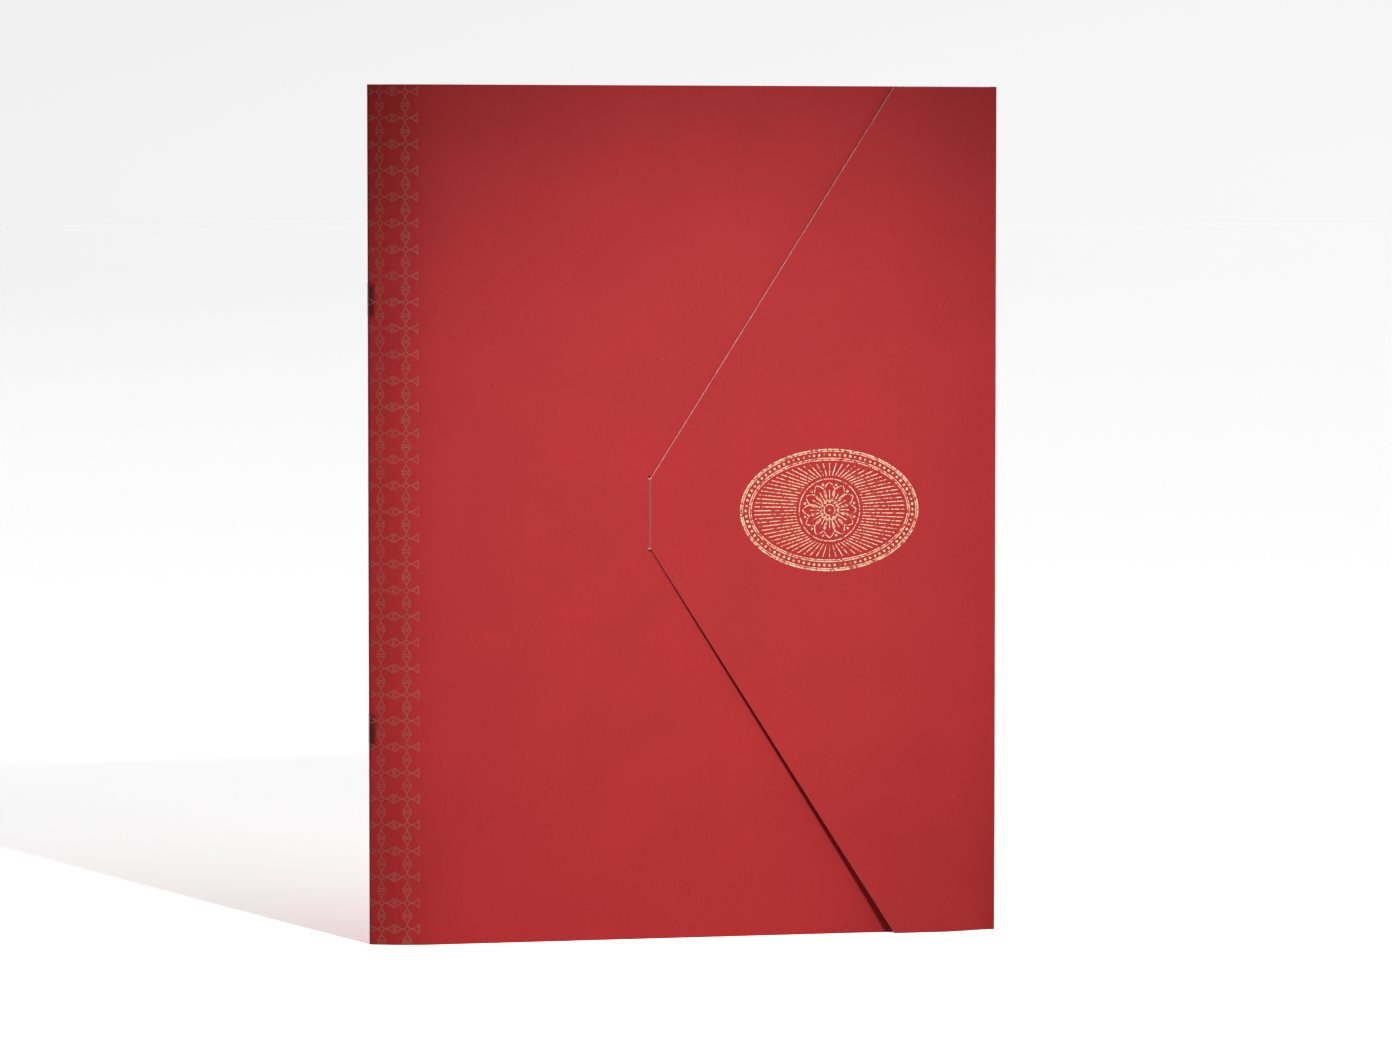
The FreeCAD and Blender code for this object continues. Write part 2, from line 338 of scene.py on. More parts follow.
def make_back_and_strip():
    """The rest of the back cover, its fore-edge crease and half of the fore-edge strip."""
    card = bpy.context.scene.prayer_book_card
    half = card.thickness / 2
    start = Vector((split_x(), BACK_CREASE.y + half))
    crease_start = Vector((BACK_CREASE.x, start.y))
    strip_x = BACK_CREASE.x + half
    strip_middle = Vector((strip_x, (BACK_CREASE.y + FRONT_CREASE.y) / 2))
    plan = [start] + run(start, crease_start, card.spacing)
    plan += crease_arc(BACK_CREASE, 90, 0)
    plan += run(Vector((strip_x, BACK_CREASE.y)), strip_middle, card.spacing)
    rows = heights(0, BOOK_HEIGHT, card.spacing)
    points, cells = upright_grid(plan, rows)
    piece = thin_sheet("back_cover_and_strip_card", points, cells, card.thickness,
                       card_finishes())
    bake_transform(piece)
    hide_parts("back_cover", "fore_edge_strip")


def flap_lift(x, z):
    """How far the flap springs off the cover: most at its tail corner, which curls, and less
    at its head corner. It rises in an easy curve next to the crease.
    """
    flap = bpy.context.scene.prayer_book_flap
    tip_low = (BOOK_HEIGHT - flap.tip_height) / 2
    low = max(0.0, 1 - z / tip_low)
    lift = flap.tail_lift * (flap.even_lift * low + (1 - flap.even_lift) * low ** flap.corner_curl)
    lift += flap.head_lift * max(0.0, 1 - (BOOK_HEIGHT - z) / tip_low)
    away = FRONT_CREASE.x - x
    if away >= flap.lift_run:
        return lift
    share = max(0.0, away / flap.lift_run)
    return lift * share * share * (3 - 2 * share)


def flap_edge_x(z):
    """Where the flap's free edge is at a height: slanted above and below its upright tip."""
    flap = bpy.context.scene.prayer_book_flap
    tip_low = (BOOK_HEIGHT - flap.tip_height) / 2
    share = min(z, BOOK_HEIGHT - z, tip_low) / tip_low
    return flap.shoulder_x + (flap.tip_x - flap.shoulder_x) * share


def make_flap_and_strip():
    """Half of the fore-edge strip, the front crease, the closing flap and its tongue."""
    card = bpy.context.scene.prayer_book_card
    flap = bpy.context.scene.prayer_book_flap
    half = card.thickness / 2
    strip_x = FRONT_CREASE.x + half
    strip_middle = Vector((strip_x, (BACK_CREASE.y + FRONT_CREASE.y) / 2))
    strip_end = Vector((strip_x, FRONT_CREASE.y))
    plan = [strip_middle] + run(strip_middle, strip_end, card.spacing)
    plan += crease_arc(FRONT_CREASE, 0, -90)
    crease_column = len(plan) - 1
    panel_y = FRONT_CREASE.y - half
    middle = BOOK_HEIGHT / 2
    tip_low = middle - flap.tip_height / 2
    tip_high = middle + flap.tip_height / 2
    rows = heights(0, BOOK_HEIGHT, card.spacing, (tip_low, tip_high))
    panel_columns = round((FRONT_CREASE.x - flap.tip_x) / card.spacing)
    tongue = tongue_plan(panel_y)
    points = []
    for z in rows:
        row = [Vector((p.x, p.y, z)) for p in plan]
        edge_x = flap_edge_x(z) + flap.slit_side * card.slit_width / 2
        for column in range(1, panel_columns + 1):
            x = FRONT_CREASE.x + (edge_x - FRONT_CREASE.x) * column / panel_columns
            row.append(Vector((x, panel_y - flap_lift(x, z), z)))
        for p in tongue:
            row.append(Vector((p.x, p.y, tongue_height(p.x, z, tip_low, tip_high))))
        points.append(row)
    panel_end = crease_column + panel_columns
    cells = []
    for row, z in enumerate(rows[:-1]):
        last = panel_end
        if tip_low - NEARLY <= z < tip_high - NEARLY:
            last += len(tongue)
        cells += [(row, column) for column in range(last)]
    piece = thin_sheet("closing_flap_card", points, cells, card.thickness, card_finishes())
    chamfer_cut(piece, flap.cut_crush,
                lambda place: 0 < place.z < BOOK_HEIGHT and tip_x() < place.x < strip_x - half)
    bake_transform(piece)
    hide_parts("fore_edge_strip", "closing_flap")


def tongue_plan(panel_y):
    """The tongue steps through the slit and runs on behind the front cover."""
    card = bpy.context.scene.prayer_book_card
    flap = bpy.context.scene.prayer_book_flap
    behind_y = HINGE.y - COVER_DEPTH + card.thickness + flap.tongue_gap + card.thickness / 2
    step = card.slit_width * flap.step_share / 2
    upper = Vector((tip_x() + step, panel_y))
    lower = Vector((tip_x() - step, behind_y))
    end = Vector((tip_x() - flap.tongue_length, behind_y))
    return [upper, lower] + run(lower, end, card.spacing / TONGUE_FINENESS)


def tongue_height(x, z, tip_low, tip_high):
    """Rows of the tongue close in near its end, which rounds its corners."""
    flap = bpy.context.scene.prayer_book_flap
    middle = (tip_low + tip_high) / 2
    end_x = tip_x() - flap.tongue_length
    into = end_x + flap.tongue_corner - x
    if into <= 0:
        return z
    inset = flap.tongue_corner - math.sqrt(max(0.0, flap.tongue_corner ** 2 - into ** 2))
    full = (tip_high - tip_low) / 2
    return middle + (z - middle) * (full - inset) / full


def make_card_pieces():
    """The three pieces of the one folded card."""
    make_cover_and_spine()
    make_back_and_strip()
    make_flap_and_strip()


# ---- paper ----

def make_paper_sheets():
    """The folded sheets, each one piece that bends at the spine."""
    paper = bpy.context.scene.prayer_book_paper
    finish = paper_finish()
    half = paper.thickness / 2
    for number in range(1, SHEET_COUNT + 1):
        back_leaf = f"sheet_{number:02d}_back_leaf"
        front_leaf = f"sheet_{number:02d}_front_leaf"
        low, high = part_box(back_leaf)
        nose = Vector((low.x + half + paper.nose_radius, HINGE.y))
        depth = high.y - half - HINGE.y
        fold = Fold(nose, paper.nose_radius, paper.fold_slope, 0, depth)
        arm_length = arm_to_radius(fold, paper.first_arm + (number - 1) * paper.arm_step)
        fold = Fold(nose, paper.nose_radius, paper.fold_slope, arm_length, depth)
        front = fold.half(high.x, paper.spacing, paper.nose_steps, paper.bend_steps)
        plan = front + fold.mirrored(front)[1:]
        rows = heights(low.z, high.z, paper.spacing)
        points, cells = upright_grid(plan, rows)
        piece = thin_sheet(f"folded_sheet_{number:02d}", points, cells, paper.thickness,
                           [finish, finish, finish])
        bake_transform(piece)
        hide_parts(front_leaf, back_leaf)


def arm_to_radius(fold, radius):
    """How long a sheet's arm is where it is this far from the hinge axis."""
    at_nose, _ = fold.arm_ends()
    from_axis = at_nose - HINGE
    along = from_axis.x * math.cos(fold.slope) - from_axis.y * math.sin(fold.slope)
    return -along + math.sqrt(along ** 2 + radius ** 2 - from_axis.length_squared)


# ---- geometry node trees ----

class Tree:
    """A geometry node tree with named inputs, ending in Realize Instances and Set Material."""

    def __init__(self, name, inputs):
        self.tree = bpy.data.node_groups.new(name, "GeometryNodeTree")
        face = self.tree.interface
        face.new_socket("Geometry", in_out="OUTPUT", socket_type="NodeSocketGeometry")
        for label, kind in inputs.items():
            face.new_socket(label, in_out="INPUT", socket_type="NodeSocket" + kind)
        self.inputs = self.tree.nodes.new("NodeGroupInput").outputs

    def add(self, kind, inputs=None, **settings):
        """A new geometry node."""
        return node(self.tree, "GeometryNode" + kind, inputs, **settings)

    def out(self, kind, inputs=None, **settings):
        """First output of a new node."""
        return self.add(kind, inputs, **settings).outputs[0]

    def math(self, operation, first, second=0.0):
        """The result of a sum."""
        return sums(self.tree, operation, first, second)

    def vector(self, x=0.0, y=0.0, z=0.0):
        """A vector of three values."""
        return node(self.tree, "ShaderNodeCombineXYZ", {0: x, 1: y, 2: z}).outputs[0]

    def split(self, vector):
        """The three values of a vector."""
        return node(self.tree, "ShaderNodeSeparateXYZ", {0: vector}).outputs

    def index(self):
        return self.tree.nodes.new("GeometryNodeInputIndex").outputs[0]

    def position(self):
        return self.tree.nodes.new("GeometryNodeInputPosition").outputs[0]

    def join(self, *parts):
        """Several shapes as one."""
        joined = self.tree.nodes.new("GeometryNodeJoinGeometry")
        for part in reversed(parts):
            self.tree.links.new(part, joined.inputs[0])
        return joined.outputs[0]

    def bezier(self, start, middle, end, steps):
        """A curved line pulled towards its middle point."""
        return self.out("CurveQuadraticBezier", {
            "Resolution": steps, "Start": start, "Middle": middle, "End": end,
        })

    def line(self, start, end):
        return self.out("CurvePrimitiveLine", {"Start": start, "End": end})

    def ribbon(self, curve, width, relief):
        """A flat raised line along a curve that lies in the XY plane, closed all round."""
        level = self.out("SetCurveNormal", {"Curve": curve}, mode="Z_UP")
        profile = self.out("CurvePrimitiveQuadrilateral", {"Width": width, "Height": relief})
        return self.out("CurveToMesh", {
            "Curve": level, "Profile Curve": profile, "Fill Caps": True,
        })

    def ring_of(self, piece, count, radius, first=0.0):
        """Copies of a piece round the origin, each turned to face outwards."""
        points = self.out("MeshLine", {"Count": count, "Offset": (0, 0, 0)})
        step = self.math("DIVIDE", 2 * math.pi, count)
        angle = self.math("ADD", self.math("MULTIPLY", self.index(), step), first)
        x = self.math("MULTIPLY", self.math("COSINE", angle), radius)
        y = self.math("MULTIPLY", self.math("SINE", angle), radius)
        placed = self.out("SetPosition", {"Geometry": points, "Position": self.vector(x, y)})
        turned = node(self.tree, "FunctionNodeEulerToRotation", {0: self.vector(0, 0, angle)})
        return self.out("InstanceOnPoints", {
            "Points": placed, "Instance": piece, "Rotation": turned.outputs[0],
        })

    def finish(self, geometry):
        """Ends the tree: real faces, shaded flat, in the material of its input."""
        real = self.out("RealizeInstances", {"Geometry": geometry})
        painted = self.out("SetMaterial", {"Geometry": real, "Material": self.inputs["Material"]})
        flat = self.out("SetShadeSmooth", {"Geometry": painted, "Shade Smooth": False})
        output = self.tree.nodes.new("NodeGroupOutput")
        self.tree.links.new(flat, output.inputs[0])


def grown(name, tree, values, material):
    """The piece that a geometry tree makes with these input values, as a plain mesh."""
    carrier = bpy.data.objects.new(name + "_tree", bpy.data.meshes.new(name + "_tree"))
    bpy.context.scene.collection.objects.link(carrier)
    modifier = carrier.modifiers.new("tree", "NODES")
    modifier.node_group = tree.tree
    sockets = {item.name: item.identifier for item in tree.tree.interface.items_tree
               if item.in_out == "INPUT"}
    for label, value in {**values, "Material": material}.items():
        modifier[sockets[label]] = value
    evaluated = carrier.evaluated_get(bpy.context.evaluated_depsgraph_get())
    mesh = bpy.data.meshes.new_from_object(evaluated)
    if not mesh.polygons:
        raise RuntimeError(f"the tree of {name} made no faces")
    mesh.name = name
    bpy.data.objects.remove(carrier)
    return new_piece(name, mesh, [])


# ---- printed crosses ----

# The waist of a cross's arm: a share of its length out, and of half its end across.
WAIST_ALONG = 0.66
WAIST_ACROSS = -0.04
ARM_STEPS = 4


def cross_tree():
    """Outline crosses in rows and columns, laid along a path that is drawn up in plan."""
    tree = Tree("printed_crosses", {
        "Card Path": "Object", "Rows": "Int", "Columns": "Int", "Row Pitch": "Float",
        "Column Pitch": "Float", "First Row": "Float", "First Column": "Float",
        "Arm": "Float", "Arm End": "Float", "Crossing": "Float", "Line Width": "Float",
        "Relief": "Float", "Material": "Material",
    })
    use = tree.inputs
    arm, crossing = use["Arm"], use["Crossing"]
    end = tree.math("DIVIDE", use["Arm End"], 2)
    near_end = tree.math("MULTIPLY", end, -1)
    waist_along = tree.math("MULTIPLY", arm, WAIST_ALONG)
    waist_across = tree.math("MULTIPLY", end, WAIST_ACROSS)
    up_side = tree.bezier(tree.vector(near_end, arm), tree.vector(waist_across, waist_along),
                          tree.vector(0.0, crossing), ARM_STEPS)
    centre_side = tree.line(tree.vector(0.0, crossing), tree.vector(crossing, 0.0))
    right_side = tree.bezier(tree.vector(crossing, 0.0), tree.vector(waist_along, waist_across),
                             tree.vector(arm, near_end), ARM_STEPS)
    end_line = tree.bezier(tree.vector(near_end, arm), tree.vector(0.0, arm),
                           tree.vector(end, arm), ARM_STEPS)
    quarter = tree.join(*[tree.ribbon(side, use["Line Width"], use["Relief"])
                          for side in (up_side, centre_side, right_side, end_line)])
    cross = tree.out("RealizeInstances", {"Geometry": tree.ring_of(quarter, 4, 0.0)})
    columns = tree.out("MeshLine", {
        "Count": use["Columns"],
        "Start Location": tree.vector(use["First Column"], use["First Row"]),
        "Offset": tree.vector(use["Column Pitch"]),
    })
    column = tree.out("MeshLine", {
        "Count": use["Rows"], "Offset": tree.vector(0.0, use["Row Pitch"]),
    })
    rows = tree.out("InstanceOnPoints", {"Points": columns, "Instance": column})
    rows = tree.out("RealizeInstances", {"Geometry": rows})
    crosses = tree.out("InstanceOnPoints", {"Points": rows, "Instance": cross})
    crosses = tree.out("RealizeInstances", {"Geometry": crosses})
    flat = tree.split(tree.position())
    path = tree.add("ObjectInfo", {"Object": use["Card Path"]}).outputs["Geometry"]
    sample = tree.add("SampleCurve", {"Curves": path, "Length": flat["X"]}, mode="LENGTH")
    place, along = sample.outputs["Position"], sample.outputs["Tangent"]
    outwards = node(tree.tree, "ShaderNodeVectorMath", {0: (0, 0, 1), 1: along},
                    operation="CROSS_PRODUCT").outputs[0]
    raised = node(tree.tree, "ShaderNodeVectorMath", {0: outwards, "Scale": flat["Z"]},
                  operation="SCALE").outputs[0]
    laid = node(tree.tree, "ShaderNodeVectorMath", {0: place, 1: raised}).outputs[0]
    laid = node(tree.tree, "ShaderNodeVectorMath",
                {0: laid, 1: tree.vector(0.0, 0.0, flat["Y"])}).outputs[0]
    tree.finish(tree.out("SetPosition", {"Geometry": crosses, "Position": laid}))
    return tree


def path_object(name, points):
    """A poly curve through plan points, for a tree to follow."""
    curve = bpy.data.curves.new(name, "CURVE")
    curve.dimensions = "3D"
    spline = curve.splines.new("POLY")
    spline.points.add(len(points) - 1)
    for point, place in zip(spline.points, points):
        point.co = (place.x, place.y, 0, 1)
    path = bpy.data.objects.new(name, curve)
    bpy.context.scene.collection.objects.link(path)
    return path


def trim_to_height(mesh, low, high):
    """Cuts a mesh off level at the card's tail and head, and closes the cuts."""
    trimmed = bmesh.new()
    trimmed.from_mesh(mesh)
    for height, upwards in ((low, -1), (high, 1)):
        whole = trimmed.verts[:] + trimmed.edges[:] + trimmed.faces[:]
        result = bmesh.ops.bisect_plane(trimmed, geom=whole, plane_co=(0, 0, height),
                                        plane_no=(0, 0, upwards), clear_outer=True)
        open_edges = [e for e in result["geom_cut"] if isinstance(e, bmesh.types.BMEdge)]
        bmesh.ops.holes_fill(trimmed, edges=open_edges, sides=0)
    trimmed.to_mesh(mesh)
    trimmed.free()


def make_printed_crosses():
    """The band of crosses about the spine fold, on the card's outer face."""
    card = bpy.context.scene.prayer_book_card
    prints = bpy.context.scene.prayer_book_print
    fold = cover_fold()
    front = fold.half(prints.path_end, card.spacing, card.nose_steps, card.bend_steps)
    plan = front + fold.mirrored(front)[1:]
    normals = left_normals(plan)
    face = [p + n * (card.thickness / 2) for p, n in zip(plan, normals)]
    tip = lengths_along(face)[len(front) - 1]
    path = path_object("card_path", face)
    values = {
        "Card Path": path, "Rows": prints.rows, "Columns": prints.columns,
        "Row Pitch": prints.row_pitch, "Column Pitch": prints.column_pitch,
        "First Row": prints.first_row, "First Column": tip - prints.first_column,
        "Arm": prints.arm, "Arm End": prints.arm_end, "Crossing": prints.crossing,
        "Line Width": prints.line_width, "Relief": prints.relief,
    }
    piece = grown("printed_cross_band", cross_tree(), values, print_finish())
    bpy.data.objects.remove(path)
    trim_to_height(piece.data, prints.relief, BOOK_HEIGHT - prints.relief)
    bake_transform(piece)


# ---- foil ornament ----

# Parts of the ornament. Those of the frame are in from its outer line, as shares of the
# border, and those of the rosette are from its middle, as shares of its width.
FRAME_LINES = (0.35, 1.65, 2.0)
RAY_END = 2.6
RAY_START = 0.62
PETAL_ROOT = 0.13
PETAL_WAIST = 0.36
PETAL_HALF_WIDTH = 0.2
ROSETTE_BEADS = 0.47
ROSETTE_RINGS = (0.1, 0.56)
OUTER_LINE = 1.6  # times as wide as the other lines
OVAL_STEPS = 96
RING_STEPS = 48
PETAL_STEPS = 7
BEAD_SIDES = 8


def foil_tree():
    """Oval frame with beads, fine rays and a rosette, pressed onto a surface from the front."""
    tree = Tree("foil_ornament", {
        "Surface": "Object", "Centre": "Vector", "Width": "Float", "Height": "Float",
        "Border": "Float", "Bead Size": "Float", "Beads": "Int", "Rays": "Int",
        "Petals": "Int", "Rosette": "Float", "Line Width": "Float", "Relief": "Float",
        "Material": "Material",
    })
    use = tree.inputs
    line, relief, border = use["Line Width"], use["Relief"], use["Border"]
    half_width = tree.math("DIVIDE", use["Width"], 2)
    half_height = tree.math("DIVIDE", use["Height"], 2)

    def inset(half, share):
        return tree.math("SUBTRACT", half, tree.math("MULTIPLY", border, share))

    def oval(share):
        circle = tree.out("CurvePrimitiveCircle", {"Resolution": OVAL_STEPS, "Radius": 1.0})
        size = tree.vector(inset(half_width, share), inset(half_height, share), 1.0)
        return tree.out("Transform", {"Geometry": circle, "Scale": size})

    parts = [tree.ribbon(oval(0.0), tree.math("MULTIPLY", line, OUTER_LINE), relief)]
    parts += [tree.ribbon(oval(share), line, relief) for share in FRAME_LINES]
    bead = tree.out("MeshCylinder", {
        "Vertices": BEAD_SIDES, "Radius": tree.math("DIVIDE", use["Bead Size"], 2), "Depth": relief,
    })
    spots = tree.out("ResampleCurve", {"Curve": oval(1.0), "Count": use["Beads"]})
    parts.append(tree.out("InstanceOnPoints", {"Points": spots, "Instance": bead}))

    rosette = use["Rosette"]
    ray = tree.ribbon(tree.line((0, 0, 0), (1, 0, 0)), line, relief)
    ray_points = tree.out("MeshLine", {"Count": use["Rays"], "Offset": (0, 0, 0)})
    angle = tree.math("MULTIPLY", tree.index(), tree.math("DIVIDE", 2 * math.pi, use["Rays"]))
    cosine, sine = tree.math("COSINE", angle), tree.math("SINE", angle)
    ray_start = tree.math("MULTIPLY", rosette, RAY_START)
    from_x = tree.math("MULTIPLY", cosine, ray_start)
    from_y = tree.math("MULTIPLY", sine, ray_start)
    to_x = tree.math("MULTIPLY", cosine, inset(half_width, RAY_END))
    to_y = tree.math("MULTIPLY", sine, inset(half_height, RAY_END))
    run_x = tree.math("SUBTRACT", to_x, from_x)
    run_y = tree.math("SUBTRACT", to_y, from_y)
    reach = tree.math("SQRT", tree.math("ADD", tree.math("MULTIPLY", run_x, run_x),
                                        tree.math("MULTIPLY", run_y, run_y)))
    turned = tree.vector(0.0, 0.0, tree.math("ARCTAN2", run_y, run_x))
    ray_points = tree.out("SetPosition", {
        "Geometry": ray_points, "Position": tree.vector(from_x, from_y),
    })
    parts.append(tree.out("InstanceOnPoints", {
        "Points": ray_points, "Instance": ray,
        "Rotation": node(tree.tree, "FunctionNodeEulerToRotation", {0: turned}).outputs[0],
        "Scale": tree.vector(reach, 1.0, 1.0),
    }))

    half_rosette = tree.math("DIVIDE", rosette, 2)
    petal_wide = tree.math("MULTIPLY", rosette, PETAL_HALF_WIDTH)
    petal_root = tree.math("MULTIPLY", rosette, PETAL_ROOT)
    petal_waist = tree.math("MULTIPLY", rosette, PETAL_WAIST)
    sides = []
    for way in (1, -1):
        middle = tree.vector(petal_waist, tree.math("MULTIPLY", petal_wide, way))
        sides.append(tree.ribbon(tree.bezier(tree.vector(petal_root), middle,
                                             tree.vector(half_rosette), PETAL_STEPS),
                                 line, relief))
    vein = tree.line(tree.vector(petal_root), tree.vector(petal_waist))
    sides.append(tree.ribbon(vein, line, relief))
    parts.append(tree.ring_of(tree.join(*sides), use["Petals"], 0.0))
    for share in ROSETTE_RINGS:
        circle = tree.out("CurvePrimitiveCircle", {
            "Resolution": RING_STEPS, "Radius": tree.math("MULTIPLY", rosette, share),
        })
        parts.append(tree.ribbon(circle, line, relief))
    parts.append(tree.ring_of(bead, use["Petals"],
                              tree.math("MULTIPLY", rosette, ROSETTE_BEADS),
                              tree.math("DIVIDE", math.pi, use["Petals"])))
    parts.append(bead)

    drawn = tree.out("RealizeInstances", {"Geometry": tree.join(*parts)})
    flat = tree.split(tree.position())
    centre = tree.split(use["Centre"])
    x = tree.math("ADD", centre["X"], flat["X"])
    z = tree.math("ADD", centre["Z"], flat["Y"])
    surface = tree.add("ObjectInfo", {"Object": use["Surface"]}).outputs["Geometry"]
    struck = tree.add("Raycast", {
        "Target Geometry": surface, "Source Position": tree.vector(x, centre["Y"], z),
        "Ray Direction": (0, 1, 0), "Ray Length": 1.0,
    })
    face_y = tree.split(struck.outputs["Hit Position"])["Y"]
    pressed = tree.vector(x, tree.math("SUBTRACT", face_y, flat["Z"]), z)
    tree.finish(tree.out("SetPosition", {"Geometry": drawn, "Position": pressed}))
    return tree


def make_foil_ornament():
    """The gold device in the middle of the flap."""
    foil = bpy.context.scene.prayer_book_foil
    before_flap = 2 * FLAP_BOX[0].y
    values = {
        "Surface": bpy.data.objects["closing_flap_card"],
        "Centre": (foil.centre_x, before_flap, BOOK_HEIGHT / 2 + foil.above_middle),
        "Width": foil.width, "Height": foil.height, "Border": foil.border,
        "Bead Size": foil.bead_size, "Beads": foil.beads, "Rays": foil.rays,
        "Petals": foil.petals, "Rosette": foil.rosette, "Line Width": foil.line_width,
        "Relief": foil.relief,
    }
    piece = grown("foil_ornament", foil_tree(), values, foil_finish())
    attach(piece, "closing_flap")


# ---- staples ----

def make_staples():
    """Gives the wire staples of the frame their steel."""
    steel = steel_finish()
    for name in STAPLES:
        staple = frame["nodes"][name]
        staple.data.materials.clear()
        staple.data.materials.append(steel)


# ---- finishes ----

DUST_RED = (0.5, 0.09, 0.09, 1)
GRIME_RED = (0.12, 0.004, 0.005, 1)
PAINTED_SHADE_RED = (0.01, 0.001, 0.0005, 1)
TIP_HIGHLIGHT_PINK = (0.9, 0.62, 0.6, 1)
INSIDE_WHITE = (0.74, 0.7, 0.62, 1)
INSIDE_FIBRE = (0.8, 0.77, 0.7, 1)
PAPER_FLECK = (0.55, 0.48, 0.36, 1)
DARK_STEEL = (0.42, 0.42, 0.43, 1)
PALE_STEEL = (0.62, 0.62, 0.61, 1)
WHITE = (1, 1, 1, 1)
SPECK_SHARE = 0.35
FLECK_SHARE = 0.3
HIGHLIGHT_FADE = 2 * MM  # the painted highlight comes in over this depth, forwards from the book's middle plane
GLOSS_CHANGE = 0.01
PAINTED_SHADE_END, PAINTED_SHADE_FULL = 1.15, 0.6  # shares of half a staple's height, where its painted shade ends and where it is full
FACES_LEVEL, FACES_DOWN = -0.1, -0.3  # between these the cut edge turns to its painted shade


def node(tree, kind, inputs=None, **settings):
    """Adds a node, sets it up, and links or sets its inputs."""
    made = tree.nodes.new(kind)
    for name, value in settings.items():
        setattr(made, name, value)
    for key, value in (inputs or {}).items():
        if isinstance(value, bpy.types.NodeSocket):
            tree.links.new(value, made.inputs[key])
        else:
            made.inputs[key].default_value = value
    return made


def sums(tree, operation, first, second=0.0, third=0.0):
    """The result of a Math node."""
    inputs = {0: first, 1: second, 2: third}
    return node(tree, "ShaderNodeMath", inputs, operation=operation).outputs[0]


def band(tree, value, low, high, to_low=0.0, to_high=1.0):
    """A value that eases from to_low at low to to_high at high."""
    ranged = node(tree, "ShaderNodeMapRange", {
        "Value": value, "From Min": low, "From Max": high, "To Min": to_low, "To Max": to_high,
    }, interpolation_type="SMOOTHSTEP")
    return ranged.outputs["Result"]


def noise(tree, coordinates, scale, detail=2.0, stretch=(1, 1, 1)):
    """Noise about 1 / scale metres across, drawn out along an axis by a small stretch."""
    mapped = node(tree, "ShaderNodeMapping", {"Vector": coordinates, "Scale": stretch})
    made = node(tree, "ShaderNodeTexNoise", {
        "Vector": mapped.outputs["Vector"], "Scale": scale, "Detail": detail,
    })
    return made.outputs["Fac"]


def tinted(tree, base, other, amount):
    """One colour over another by an amount."""
    mix = node(tree, "ShaderNodeMix", data_type="RGBA")
    for key, value in (("Factor", amount), ("A", base), ("B", other)):
        slots = [i for i in mix.inputs if i.name == key and i.enabled]
        if isinstance(value, bpy.types.NodeSocket):
            tree.links.new(value, slots[0])
        else:
            slots[0].default_value = value
    return next(o for o in mix.outputs if o.enabled)


def new_finish(name, uniform):
    """A material with its shader's uniform values set, its tree and its object coordinates."""
    material = bpy.data.materials.new(name)
    material.use_nodes = True
    tree = material.node_tree
    shader = tree.nodes["Principled BSDF"]
    for key, value in uniform.items():
        shader.inputs[key].default_value = value
    coordinates = tree.nodes.new("ShaderNodeTexCoord").outputs["Object"]
    return material, tree, shader, coordinates


def bumped(tree, shader, height, distance):
    """Gives a shader the relief of a height from 0 to 1."""
    bump = node(tree, "ShaderNodeBump", {
        "Height": height, "Distance": distance, "Strength": 1.0,
    })
    tree.links.new(bump.outputs["Normal"], shader.inputs["Normal"])


def card_face_finish():
    """Printed and matt-laminated red card: faint mottle, fibre, dust, painted light at the flap's
    tip, painted shade at the staples.
    """
    card = bpy.context.scene.prayer_book_card
    material, tree, shader, place = new_finish("red_card_face", {"Specular IOR Level": 0.2})
    mottle = band(tree, noise(tree, place, scale=35, detail=3), 0.3, 0.7, 0.965, 1.03)
    fibre = noise(tree, place, scale=1500, detail=2, stretch=(1, 1, 0.35))
    fibre = band(tree, fibre, 0.25, 0.75, 0.975, 1.025)
    tone = sums(tree, "MULTIPLY", mottle, fibre)
    red = node(tree, "ShaderNodeVectorMath", {0: tuple(card.red)[:3], "Scale": tone},
               operation="SCALE").outputs[0]
    dust = band(tree, noise(tree, place, scale=520, detail=1), 0.775, 0.8)
    red = tinted(tree, red, DUST_RED, sums(tree, "MULTIPLY", dust, SPECK_SHARE))
    grime = band(tree, noise(tree, place, scale=430, detail=1), 0.225, 0.2)
    red = tinted(tree, red, GRIME_RED, sums(tree, "MULTIPLY", grime, SPECK_SHARE))
    # painted shade: near-black patches at the staples on the spine fold
    red = tinted(tree, red, PAINTED_SHADE_RED, staple_painted_shade(tree, place))
    # painted light along the tongue's bend and painted highlights at its two corners
    red = tinted(tree, red, TIP_HIGHLIGHT_PINK, tip_painted_highlight(tree, place))
    tree.links.new(red, shader.inputs["Base Color"])
    gloss = band(tree, noise(tree, place, scale=60, detail=3), 0.3, 0.7,
                 card.roughness - GLOSS_CHANGE, card.roughness + GLOSS_CHANGE)
    tree.links.new(gloss, shader.inputs["Roughness"])
    grain = sums(tree, "ADD", noise(tree, place, scale=1800), noise(tree, place, scale=300))
    bumped(tree, shader, grain, card.grain_depth)
    return material


def staple_painted_shade(tree, place):
    """Painted shade where the staples sit on the fold: a soft dark patch about each crown."""
    card = bpy.context.scene.prayer_book_card
    split = node(tree, "ShaderNodeSeparateXYZ", {"Vector": place})
    from_fold = sums(tree, "SUBTRACT", split.outputs["X"], SPINE_BOX[0].x)
    near_fold = band(tree, sums(tree, "ABSOLUTE", from_fold), card.painted_shade_reach,
                     card.painted_shade_reach / 3)
    patches = None
    for name in STAPLES:
        low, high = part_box(name)
        height = sums(tree, "SUBTRACT", split.outputs["Z"], (low.z + high.z) / 2)
        away = sums(tree, "ABSOLUTE", height)
        reach = (high.z - low.z) / 2
        patch = band(tree, away, reach * PAINTED_SHADE_END, reach * PAINTED_SHADE_FULL)
        patches = patch if patches is None else sums(tree, "MAXIMUM", patches, patch)
    shade = sums(tree, "MULTIPLY", near_fold, patches)
    return sums(tree, "MULTIPLY", shade, card.painted_shade_strength)


